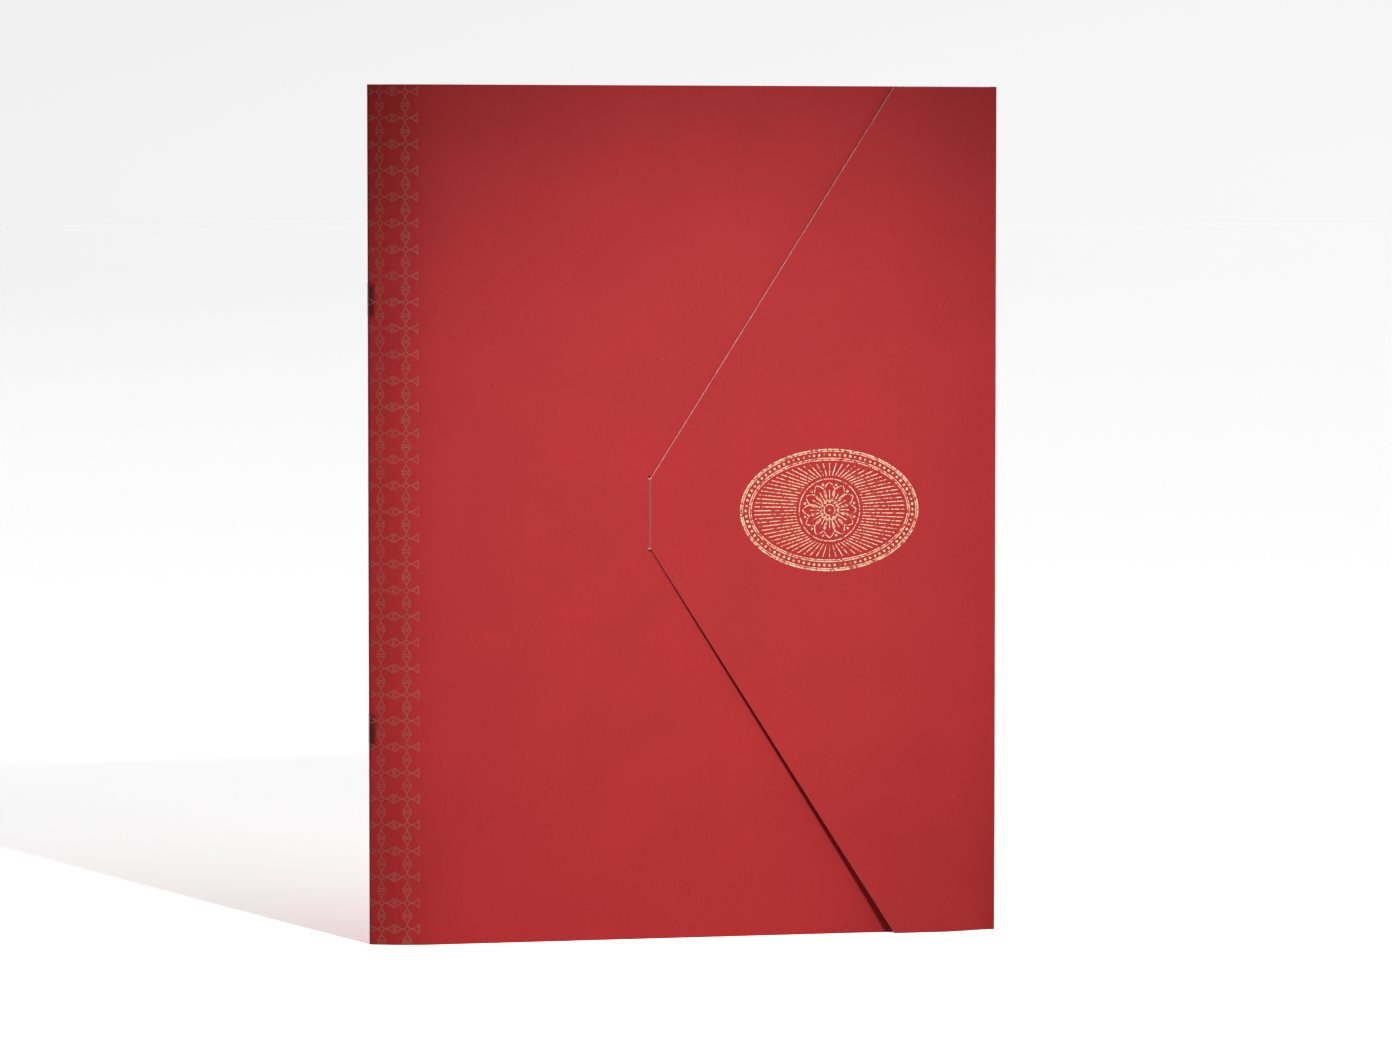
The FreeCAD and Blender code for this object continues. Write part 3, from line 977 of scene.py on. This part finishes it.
def tip_painted_highlight(tree, place):
    """Where the flap tucks in: painted light along the bend, lifting its shade, and painted
    highlights at its two corners.
    """
    flap = bpy.context.scene.prayer_book_flap
    split = node(tree, "ShaderNodeSeparateXYZ", {"Vector": place})
    across = sums(tree, "SUBTRACT", split.outputs["X"], tip_x())
    height = sums(tree, "ABSOLUTE", sums(tree, "SUBTRACT", split.outputs["Z"], BOOK_HEIGHT / 2))
    from_corner = sums(tree, "SUBTRACT", height, flap.tip_height / 2)
    squares = sums(tree, "ADD", sums(tree, "MULTIPLY", across, across),
                   sums(tree, "MULTIPLY", from_corner, from_corner))
    corners = band(tree, sums(tree, "SQRT", squares), flap.corner_highlight, flap.corner_highlight / 2)
    bend_line = band(tree, sums(tree, "ABSOLUTE", across), flap.bend_painted_light, flap.bend_painted_light / 2)
    bend_line = sums(tree, "MULTIPLY", bend_line, band(tree, from_corner, 0, -flap.corner_highlight))
    highlight_mask = sums(tree, "MAXIMUM", corners, sums(tree, "MULTIPLY", bend_line, flap.bend_light_amount))
    return sums(tree, "MULTIPLY", highlight_mask, band(tree, split.outputs["Y"], 0, -HIGHLIGHT_FADE))


def card_inside_finish():
    """Unprinted inner face of the card: warm white with a faint fibre."""
    material, tree, shader, place = new_finish("card_inside", {"Roughness": 0.72})
    fibre = noise(tree, place, scale=900, detail=3, stretch=(1, 1, 0.3))
    colour = tinted(tree, INSIDE_WHITE, INSIDE_FIBRE, band(tree, fibre, 0.3, 0.7))
    tree.links.new(colour, shader.inputs["Base Color"])
    bumped(tree, shader, noise(tree, place, scale=1600, detail=3), 0.02 * MM)
    return material


def card_edge_finish():
    """Cut edge of the card: a pale core bruised with red, made paler as a painted highlight, and
    darkened red as painted shade where it faces down.
    """
    card = bpy.context.scene.prayer_book_card
    material, tree, shader, place = new_finish("card_cut_edge", {"Roughness": 0.6})
    bruise = band(tree, noise(tree, place, scale=700, detail=3), 0.3, 0.7)
    colour = tinted(tree, tuple(card.edge_core_and_highlight), tuple(card.edge_bruise), bruise)
    facing = node(tree, "ShaderNodeSeparateXYZ",
                  {"Vector": tree.nodes.new("ShaderNodeNewGeometry").outputs["Normal"]})
    painted_shade_below = band(tree, facing.outputs["Z"], FACES_LEVEL, FACES_DOWN)
    # painted shade: cut edges that face down turn dark red
    colour = tinted(tree, colour, tuple(card.low_edge_painted_shade), painted_shade_below)
    tree.links.new(colour, shader.inputs["Base Color"])
    bumped(tree, shader, noise(tree, place, scale=2600), 0.02 * MM)
    return material


def card_finishes():
    """Outer face, inner face and cut edge, made once."""
    makers = {
        "red_card_face": card_face_finish,
        "card_inside": card_inside_finish,
        "card_cut_edge": card_edge_finish,
    }
    return [bpy.data.materials.get(name) or make() for name, make in makers.items()]


def paper_finish():
    """Cream book paper: cloudy formation, short fibres and a faint tooth."""
    paper = bpy.context.scene.prayer_book_paper
    material, tree, shader, place = new_finish("cream_leaf_paper", {"Roughness": 0.85})
    clouds = band(tree, noise(tree, place, scale=120, detail=3), 0.3, 0.7, 0.3, 0.55)
    colour = tinted(tree, tuple(paper.colour), tuple(paper.cloud_colour), clouds)
    flecks = band(tree, noise(tree, place, scale=900, stretch=(1, 1, 0.25)), 0.68, 0.78)
    colour = tinted(tree, colour, PAPER_FLECK, sums(tree, "MULTIPLY", flecks, FLECK_SHARE))
    tree.links.new(colour, shader.inputs["Base Color"])
    bumped(tree, shader, noise(tree, place, scale=2200, detail=3), 0.015 * MM)
    return material


def steel_finish():
    """Drawn steel wire: fine streaks and a few dull spots."""
    material, tree, shader, place = new_finish("staple_steel", {"Metallic": 1.0})
    streaks = noise(tree, place, scale=9000, stretch=(1, 1, 0.05))
    colour = tinted(tree, DARK_STEEL, PALE_STEEL, band(tree, streaks, 0.35, 0.65))
    tree.links.new(colour, shader.inputs["Base Color"])
    dull = band(tree, noise(tree, place, scale=1500), 0.55, 0.7, 0.26, 0.45)
    tree.links.new(dull, shader.inputs["Roughness"])
    bumped(tree, shader, streaks, 0.004 * MM)
    return material


def print_finish():
    """Bronze-brown ink of the crosses, thin in places."""
    prints = bpy.context.scene.prayer_book_print
    material, tree, shader, place = new_finish("bronze_print", {"Roughness": 0.48})
    thin = band(tree, noise(tree, place, scale=260, detail=3), 0.3, 0.75)
    colour = tinted(tree, tuple(prints.ink), tuple(prints.thin_ink), thin)
    tree.links.new(colour, shader.inputs["Base Color"])
    bumped(tree, shader, noise(tree, place, scale=1800), 0.01 * MM)
    return material


def foil_finish():
    """Gold foil: warm metal, uneven where it was pressed and worn dark in spots."""
    foil = bpy.context.scene.prayer_book_foil
    material, tree, shader, place = new_finish("gold_foil", {"Metallic": 1.0})
    uneven = band(tree, noise(tree, place, scale=420, detail=3), 0.3, 0.7)
    colour = tinted(tree, tuple(foil.gold), tuple(foil.pale_gold), uneven)
    worn = band(tree, noise(tree, place, scale=1100), 0.5, 0.6)
    colour = tinted(tree, colour, tuple(foil.worn_gold), worn)
    tree.links.new(colour, shader.inputs["Base Color"])
    gloss = band(tree, noise(tree, place, scale=900), 0.3, 0.7, 0.26, 0.44)
    tree.links.new(gloss, shader.inputs["Roughness"])
    bumped(tree, shader, noise(tree, place, scale=1400), 0.012 * MM)
    return material


# ---- stage ----

DRIFT_REACH = 0.15  # the tone rises this far to each side of the drift's middle
BACKDROP_RISE = math.radians(3)  # the backdrop's tone falls over this height of view
SENSOR_WIDTH = 36  # millimetres
CLIP_START = 0.1


def towards(azimuth, elevation):
    """Unit vector from the book: azimuth 0 is the front, and a positive one is to +X."""
    across = math.cos(elevation)
    return Vector((math.sin(azimuth) * across, -math.cos(azimuth) * across, math.sin(elevation)))


def seen_directly(tree):
    """1 for what the camera sees, also in a reflection, and 0 for light on the book."""
    path = tree.nodes.new("ShaderNodeLightPath")
    seen = sums(tree, "MAXIMUM", path.outputs["Is Camera Ray"], path.outputs["Is Glossy Ray"])
    return sums(tree, "MAXIMUM", seen, path.outputs["Is Transmission Ray"])


def drift(tree, level, across):
    """A background tone that falls to the left and rises to the right."""
    stage = bpy.context.scene.prayer_book_stage
    slope = band(tree, across, -1.0, stage.drift_middle, stage.left_tone, 0.0)
    rise = band(tree, across, stage.drift_middle - DRIFT_REACH,
                stage.drift_middle + DRIFT_REACH, -stage.drift / 2, stage.drift / 2)
    return sums(tree, "ADD", level, sums(tree, "ADD", slope, rise))


def make_floor():
    """A wide pale floor that is white near the book, greys far away, and keeps the shadow."""
    stage = bpy.context.scene.prayer_book_stage
    mesh = bpy.data.meshes.new("floor")
    size = stage.floor_size
    corners = [(-size, -size, 0), (size, -size, 0), (size, size, 0), (-size, size, 0)]
    mesh.from_pydata(corners, [], [(0, 1, 2, 3)])
    floor = bpy.data.objects.new("floor", mesh)
    bpy.context.scene.collection.objects.link(floor)
    material = bpy.data.materials.new("pale_floor")
    material.use_nodes = True
    tree = material.node_tree
    tree.nodes.clear()
    place = tree.nodes.new("ShaderNodeTexCoord").outputs["Object"]
    away = node(tree, "ShaderNodeVectorMath", {0: place}, operation="LENGTH").outputs["Value"]
    reach = sums(tree, "MINIMUM", away, stage.far_reach)
    ratio = sums(tree, "MULTIPLY_ADD", reach, 1 / stage.near_reach, 1.0)
    steps = sums(tree, "LOGARITHM", ratio, math.e)
    tone = sums(tree, "SUBTRACT", stage.near_tone, sums(tree, "MULTIPLY", steps, stage.tone_fall))
    # painted shadow: the floor's tone dips within dip reach of the book and fades out by twice the
    # near reach, deepening the book's shadow
    dip = band(tree, away, stage.dip_reach, stage.near_reach * 2, stage.painted_shadow_dip, 0)
    tone = sums(tree, "SUBTRACT", tone, dip)
    split = node(tree, "ShaderNodeSeparateXYZ", {0: place})
    across = sums(tree, "DIVIDE", split.outputs["X"], away)
    far = band(tree, away, stage.near_reach, stage.far_reach)
    drifted = drift(tree, tone, across)
    change = sums(tree, "SUBTRACT", drifted, tone)
    tone = sums(tree, "ADD", tone, sums(tree, "MULTIPLY", change, far))
    seen = seen_directly(tree)
    glow = node(tree, "ShaderNodeEmission", {
        "Color": WHITE, "Strength": sums(tree, "MULTIPLY", tone, seen),
    })
    white = node(tree, "ShaderNodeMapRange", {
        "Value": seen, "To Min": stage.floor_white, "To Max": stage.floor_seen_white,
    })
    matt = node(tree, "ShaderNodeBsdfDiffuse", {"Color": white.outputs["Result"]})
    both = node(tree, "ShaderNodeAddShader", {0: matt.outputs[0], 1: glow.outputs[0]})
    node(tree, "ShaderNodeOutputMaterial", {"Surface": both.outputs[0]})
    mesh.materials.append(material)
    floor.visible_shadow = False  # the rear lamp shines up from under it


def make_world():
    """Soft light from all round, stronger from the right; a pale grey where the camera sees it."""
    stage = bpy.context.scene.prayer_book_stage
    world = bpy.data.worlds.new("studio")
    bpy.context.scene.world = world
    world.use_nodes = True
    tree = world.node_tree
    tree.nodes.clear()
    direction = tree.nodes.new("ShaderNodeTexCoord").outputs["Generated"]
    split = node(tree, "ShaderNodeSeparateXYZ", {0: direction})
    level = band(tree, split.outputs["X"], -1.0, 1.0, stage.world_left, stage.world_right)
    light = node(tree, "ShaderNodeBackground", {"Color": WHITE, "Strength": level})
    tone = band(tree, split.outputs["Z"], 0.0, BACKDROP_RISE, stage.backdrop_tone,
                stage.backdrop_tone - stage.backdrop_fall)
    pale = node(tree, "ShaderNodeBackground", {
        "Color": WHITE, "Strength": drift(tree, tone, split.outputs["X"]),
    })
    mixed = node(tree, "ShaderNodeMixShader", {
        0: seen_directly(tree), 1: light.outputs[0], 2: pale.outputs[0],
    })
    node(tree, "ShaderNodeOutputWorld", {"Surface": mixed.outputs[0]})


def make_lamp(name, kind, place, target, power, **settings):
    """A lamp at a place that shines towards a target."""
    lamp = bpy.data.lights.new(name, kind)
    lamp.energy = power
    for key, value in settings.items():
        setattr(lamp, key, value)
    made = bpy.data.objects.new(name, lamp)
    bpy.context.scene.collection.objects.link(made)
    made.location = place
    made.rotation_euler = (Vector(place) - Vector(target)).to_track_quat("Z", "Y").to_euler()


def make_lamps():
    """A near key lamp with a round pool of light, a broad side lamp, and a rear lamp that
    shines up through the floor.
    """
    stage = bpy.context.scene.prayer_book_stage
    middle = Vector((0, 0, BOOK_HEIGHT / 2))
    key_place = Vector(stage.key_place)
    make_lamp("key_lamp", "POINT", key_place, middle, stage.key_power,
              shadow_soft_size=stage.key_size)
    aim = Vector((stage.pool_x, FRONT_BOX[0].y, stage.pool_z))
    make_lamp("pool_lamp", "SPOT", key_place, aim, stage.pool_power,
              spot_size=2 * math.atan(stage.pool_reach / (key_place - aim).length),
              spot_blend=1.0, shadow_soft_size=stage.key_size)
    make_lamp("side_lamp", "SUN", middle + towards(stage.side_azimuth, stage.side_elevation),
              middle, stage.side_strength, angle=stage.side_angle)
    make_lamp("rear_lamp", "SUN", middle + towards(math.pi, stage.rear_elevation),
              middle, stage.rear_strength, angle=stage.side_angle / 2)


def make_camera():
    """The camera in front of the book, a little to its spine side."""
    stage = bpy.context.scene.prayer_book_stage
    lens = bpy.data.cameras.new("camera")
    lens.lens = stage.lens
    lens.sensor_width = SENSOR_WIDTH
    lens.clip_start = CLIP_START
    camera = bpy.data.objects.new("camera", lens)
    bpy.context.scene.collection.objects.link(camera)
    camera.location = stage.camera_place
    camera.rotation_euler = (math.pi / 2 - stage.camera_tilt, 0, stage.camera_turn)
    bpy.context.scene.camera = camera


def make_stage():
    """Floor, surroundings, lamps and camera."""
    make_floor()
    make_world()
    make_lamps()
    make_camera()
    bpy.context.scene.view_settings.view_transform = "Standard"


# ---- settings ----

def a_length(name, description, default):
    """A setting in metres."""
    return FloatProperty(name=name, description=description, default=default, unit="LENGTH",
                         precision=6)


def an_angle(name, description, degrees):
    """A setting that is an angle, kept in radians."""
    return FloatProperty(name=name, description=description, default=math.radians(degrees),
                         subtype="ANGLE")


def a_number(name, description, default, unit="NONE"):
    """A setting that is a share, a strength or a tone."""
    return FloatProperty(name=name, description=description, default=default, unit=unit)


def a_count(name, description, default):
    """A setting that is a whole number."""
    return IntProperty(name=name, description=description, default=default)


def a_colour(name, description, red, green, blue):
    """A setting that is an opaque colour."""
    return FloatVectorProperty(name=name, description=description, default=(red, green, blue, 1),
                               size=4, subtype="COLOR")


def a_place(name, description, default):
    """A setting that is a place in the scene."""
    return FloatVectorProperty(name=name, description=description, default=default,
                               subtype="TRANSLATION")


class CardSettings(bpy.types.PropertyGroup):
    """Sizes and colours of the folded card."""

    thickness: a_length("Thickness", "Thickness of the cover card", 0.45 * MM)
    nose_radius: a_length("Spine nose radius", "Middle of the card at the spine", 0.9 * MM)
    fold_slope: an_angle("Fold slope", "From the book's middle plane", 23.0)
    arm_length: a_length("Arm length", "Straight stretch beside the spine", 4.0 * MM)
    slit_width: a_length("Slit width", "Opening that takes the tongue", 0.7 * MM)
    spacing: a_length("Mesh spacing", "Distance between mesh points", 4.0 * MM)
    nose_steps: a_count("Nose steps", "Steps in half of the spine's nose", 8)
    bend_steps: a_count("Bend steps", "Steps in the bend beside the spine", 8)
    crease_steps: a_count("Crease steps", "Steps round a crease", 6)
    turn_share: a_number("Turn share", "Share of the nose that bends", 0.78)
    crease_share: a_number("Crease share", "Share of a crease that bends", 0.7)
    red: a_colour("Card red", "Colour of the printed face", 0.5, 0.026, 0.029)
    # the pale edge is the card's core, made paler as a painted highlight; the low edge is painted
    # shade where the cut faces down
    edge_core_and_highlight: a_colour("Edge", "Colour of the cut edge", 0.84, 0.58, 0.55)
    edge_bruise: a_colour("Edge bruise", "Red in the cut edge", 0.7, 0.34, 0.32)
    low_edge_painted_shade: a_colour("Low edge", "Cut edges that face down", 0.4, 0.06, 0.055)
    roughness: a_number("Roughness", "Of the laminated face", 0.58)
    grain_depth: a_length("Grain depth", "Height of the fine grain", 0.012 * MM)
    # painted shade at the staples: how far from the fold it reaches, and how dark it is
    painted_shade_reach: a_length("Dent width", "Staple's dent in from the fold", 3.0 * MM)
    painted_shade_strength: a_number("Dent shade", "How dark a dent is", 0.8)


class FlapSettings(bpy.types.PropertyGroup):
    """Sizes of the closing flap and its tongue."""

    tip_x: a_length("Tip place", "Where the tongue goes through the cover",
                    FLAP_BOX[0].x + 19.0 * MM)
    shoulder_x: a_length("Shoulder place", "Flap's free edge at head and tail",
                         FLAP_BOX[1].x - 37.8 * MM)
    tip_height: a_length("Tip height", "Height of the flap's tip", 25.4 * MM)
    tail_lift: a_length("Tail lift", "How far the tail corner springs off", 4.0 * MM)
    even_lift: a_number("Even lift", "Share that rises evenly to the corner", 0.65)
    corner_curl: a_count("Corner curl", "How sharply the tail corner curls", 8)
    lift_run: a_length("Lift run", "Stretch beside the crease that rises", 20.0 * MM)
    tongue_length: a_length("Tongue length", "Tongue behind the cover", 19.0 * MM)
    tongue_corner: a_length("Tongue corner", "Radius of the tongue's corners", 5.0 * MM)
    tongue_gap: a_length("Tongue gap", "Tongue to the inside of the cover", 0.1 * MM)
    tongue_clearance: a_length("Tongue clearance", "At each end of the slit", 0.8 * MM)
    head_lift: a_length("Head lift", "Head corner off the cover", 0.6 * MM)
    # painted highlights at the tip's corners and painted light along the tongue's bend
    corner_highlight: a_length("Corner rub", "Crushed white at the tip's corners", 0.6 * MM)
    bend_painted_light: a_length("Bend rub", "Paler along the tongue's bend", 0.5 * MM)
    bend_light_amount: a_number("Rub shade", "How pale the bend is", 0.14)
    cut_crush: a_length("Cut crush", "Crushed border of the die-cut edge", 0.2 * MM)
    slit_side: a_number("Slit side", "Flap's edge from the slit's middle", 1.0)
    step_share: a_number("Step share", "Share of the slit the step takes", 0.36)


class PaperSettings(bpy.types.PropertyGroup):
    """Sizes and colours of the folded paper sheets."""

    thickness: a_length("Thickness", "Thickness of the paper", 0.15 * MM)
    nose_radius: a_length("Nose radius", "Middle of the paper at its fold", 0.55 * MM)
    fold_slope: an_angle("Fold slope", "From the book's middle plane", 23.0)
    first_arm: a_length("First arm", "Hinge to the end of the first arm", 2.45 * MM)
    arm_step: a_length("Arm step", "Further out for each next sheet", 0.5 * MM)
    spacing: a_length("Mesh spacing", "Distance between mesh points", 8.0 * MM)
    nose_steps: a_count("Nose steps", "Steps in half of a fold", 8)
    bend_steps: a_count("Bend steps", "Steps in a bend", 4)
    turn_reach: a_length("Turn reach", "Half of the depth that bends", 0.5 * MM)
    colour: a_colour("Paper", "Colour of the leaves", 0.78, 0.74, 0.65)
    cloud_colour: a_colour("Paper clouds", "Its thicker places", 0.82, 0.79, 0.71)


class PrintSettings(bpy.types.PropertyGroup):
    """Sizes and colours of the printed crosses."""

    rows: a_count("Rows", "Crosses up the spine", 34)
    columns: a_count("Columns", "Crosses across the band", 4)
    row_pitch: a_length("Row pitch", "Between the middles of two rows", 9.266 * MM)
    column_pitch: a_length("Column pitch", "Between two columns", 9.2 * MM)
    first_row: a_length("First row", "Height of the lowest row's middle", -3.53 * MM)
    first_column: a_length("First column", "Front column to the fold", 14.05 * MM)
    path_end: a_length("Path end", "Where the band's path may start", -80 * MM)
    arm: a_length("Arm", "Middle of a cross to its arm's end", 4.25 * MM)
    arm_end: a_length("Arm end", "Width of an arm's end", 3.3 * MM)
    crossing: a_length("Crossing", "Middle to where two lines cross", 1.15 * MM)
    line_width: a_length("Line width", "Width of the printed lines", 0.36 * MM)
    relief: a_length("Relief", "Height of the ink, half of it in the card", 0.04 * MM)
    ink: a_colour("Ink", "Colour of the printed lines", 0.36, 0.095, 0.055)
    thin_ink: a_colour("Thin ink", "Where the ink is thin", 0.4, 0.06, 0.045)


class FoilSettings(bpy.types.PropertyGroup):
    """Sizes and colours of the foil ornament."""

    centre_x: a_length("Centre", "Middle of the ornament across the flap", 52.4 * MM)
    above_middle: a_length("Above middle", "Over the flap's tip", 0.6 * MM)
    width: a_length("Width", "Over the oval frame", 65.5 * MM)
    height: a_length("Height", "Over the oval frame", 43.5 * MM)
    border: a_length("Border", "Frame's edge to the middle of the beads", 1.9 * MM)
    bead_size: a_length("Bead size", "Across one bead", 0.95 * MM)
    beads: a_count("Beads", "Beads in the frame", 84)
    rays: a_count("Rays", "Fine rays about the rosette", 72)
    petals: a_count("Petals", "Petals of the rosette", 12)
    rosette: a_length("Rosette", "Across the rosette's petals", 20.0 * MM)
    line_width: a_length("Line width", "Width of the foil lines", 0.3 * MM)
    relief: a_length("Relief", "Height of the foil, half of it in the card", 0.06 * MM)
    gold: a_colour("Gold", "Colour of the foil", 0.62, 0.36, 0.21)
    worn_gold: a_colour("Worn gold", "Where the foil is thin", 0.26, 0.09, 0.055)
    pale_gold: a_colour("Pale gold", "Where the foil is well pressed", 0.82, 0.58, 0.38)


class StageSettings(bpy.types.PropertyGroup):
    """The camera, the floor, the backdrop and the lamps."""

    lens: a_number("Lens", "Focal length in millimetres", 154.06, "CAMERA")
    camera_place: a_place("Camera place", "Where the camera stands", (-0.4698, -2.0762, 0.2641))
    camera_tilt: an_angle("Camera tilt", "Down from level", 3.113)
    camera_turn: an_angle("Camera turn", "About the vertical", -12.864)
    floor_size: a_length("Floor size", "Half of the floor's side", 60.0)
    floor_white: a_number("Floor white", "White of the floor", 0.45)
    floor_seen_white: a_number("Floor white seen", "As the camera sees it", 3.0)
    near_tone: a_number("Near tone", "Plain tone added beside the book", 0.548)
    tone_fall: a_number("Tone fall", "Loss of tone over the distance", 0.034)
    # painted shadow: how far the floor's tone dips about the book
    painted_shadow_dip: a_number("Near dip", "Less tone where the shadow falls", 0.07)
    dip_reach: a_length("Dip reach", "Where the dip starts to go", 0.6)
    near_reach: a_length("Near reach", "Where the tone starts to fall", 0.5)
    far_reach: a_length("Far reach", "Where the tone stops falling", 16.0)
    backdrop_tone: a_number("Backdrop tone", "Seen at the horizon", 0.918)
    backdrop_fall: a_number("Backdrop fall", "Loss of tone overhead", 0.03)
    drift: a_number("Drift", "Tone gained from left to right", 0.045)
    drift_middle: a_number("Drift middle", "Direction of the drift's middle", 0.22)
    left_tone: a_number("Left tone", "Tone added far to the left", -0.4)
    world_left: a_number("Light from the left", "Strength", 0.02)
    world_right: a_number("Light from the right", "Strength", 0.06)
    key_place: a_place("Key lamp", "Where the key lamp stands", (0.244, -1.25, 0.824))
    key_size: a_length("Key size", "Radius of the key lamp", 0.035)
    key_power: a_number("Key power", "In watts", 8.0, "POWER")
    pool_power: a_number("Pool power", "In watts", 58.0, "POWER")
    pool_reach: a_length("Pool reach", "Radius of the pool of light", 0.213)
    pool_x: a_length("Pool across", "Middle of the pool of light", -0.001)
    pool_z: a_length("Pool height", "Middle of the pool of light", 0.131)
    side_azimuth: an_angle("Side azimuth", "From the front to the right", 68)
    side_elevation: an_angle("Side elevation", "Above level", 12)
    side_angle: an_angle("Side angle", "Width of the lamp from the book", 90)
    rear_elevation: an_angle("Rear elevation", "From under the floor", -28)
    rear_strength: a_number("Rear strength", "Lights the back only", 1.2)
    side_strength: a_number("Side strength", "In watts to the square metre", 1.3)


# ---- operators ----

class PRAYERBOOK_OT_card(bpy.types.Operator):
    """Make the folded card: covers, spine, fore-edge strip, flap and tongue"""

    bl_idname = "prayer_book.card"
    bl_label = "Card Cover and Flap"

    def execute(self, context):
        make_card_pieces()
        return {"FINISHED"}


class PRAYERBOOK_OT_paper(bpy.types.Operator):
    """Make the folded sheets of paper"""

    bl_idname = "prayer_book.paper"
    bl_label = "Paper Sheets"

    def execute(self, context):
        make_paper_sheets()
        return {"FINISHED"}


class PRAYERBOOK_OT_crosses(bpy.types.Operator):
    """Make the band of printed crosses about the spine"""

    bl_idname = "prayer_book.crosses"
    bl_label = "Printed Crosses"

    def execute(self, context):
        make_printed_crosses()
        return {"FINISHED"}


class PRAYERBOOK_OT_foil(bpy.types.Operator):
    """Make the gold foil ornament on the flap"""

    bl_idname = "prayer_book.foil"
    bl_label = "Foil Ornament"

    def execute(self, context):
        make_foil_ornament()
        return {"FINISHED"}


class PRAYERBOOK_OT_staples(bpy.types.Operator):
    """Give the wire staples their steel"""

    bl_idname = "prayer_book.staples"
    bl_label = "Wire Staples"

    def execute(self, context):
        make_staples()
        return {"FINISHED"}


class PRAYERBOOK_OT_stage(bpy.types.Operator):
    """Make the floor, the lamps and the camera"""

    bl_idname = "prayer_book.stage"
    bl_label = "Stage"

    def execute(self, context):
        make_stage()
        return {"FINISHED"}


OPERATORS = (
    PRAYERBOOK_OT_card,
    PRAYERBOOK_OT_paper,
    PRAYERBOOK_OT_crosses,
    PRAYERBOOK_OT_foil,
    PRAYERBOOK_OT_staples,
    PRAYERBOOK_OT_stage,
)
SETTINGS = {
    "prayer_book_card": CardSettings,
    "prayer_book_flap": FlapSettings,
    "prayer_book_paper": PaperSettings,
    "prayer_book_print": PrintSettings,
    "prayer_book_foil": FoilSettings,
    "prayer_book_stage": StageSettings,
}


class PRAYERBOOK_PT_sidebar(bpy.types.Panel):
    """A button for each operator"""

    bl_idname = "PRAYERBOOK_PT_sidebar"
    bl_label = "Prayer Book"
    bl_space_type = "VIEW_3D"
    bl_region_type = "UI"
    bl_category = "Prayer Book"

    def draw(self, context):
        for operator in OPERATORS:
            self.layout.operator(operator.bl_idname)


def register():
    for group in SETTINGS.values():
        bpy.utils.register_class(group)
    for name, group in SETTINGS.items():
        setattr(bpy.types.Scene, name, PointerProperty(type=group))
    for operator in OPERATORS:
        bpy.utils.register_class(operator)
    bpy.utils.register_class(PRAYERBOOK_PT_sidebar)


def unregister():
    bpy.utils.unregister_class(PRAYERBOOK_PT_sidebar)
    for operator in reversed(OPERATORS):
        bpy.utils.unregister_class(operator)
    for name, group in reversed(SETTINGS.items()):
        delattr(bpy.types.Scene, name)
        bpy.utils.unregister_class(group)


def main():
    register()
    for operator in OPERATORS:
        family, action = operator.bl_idname.split(".")
        getattr(getattr(bpy.ops, family), action)()


if __name__ == "__main__":
    main()
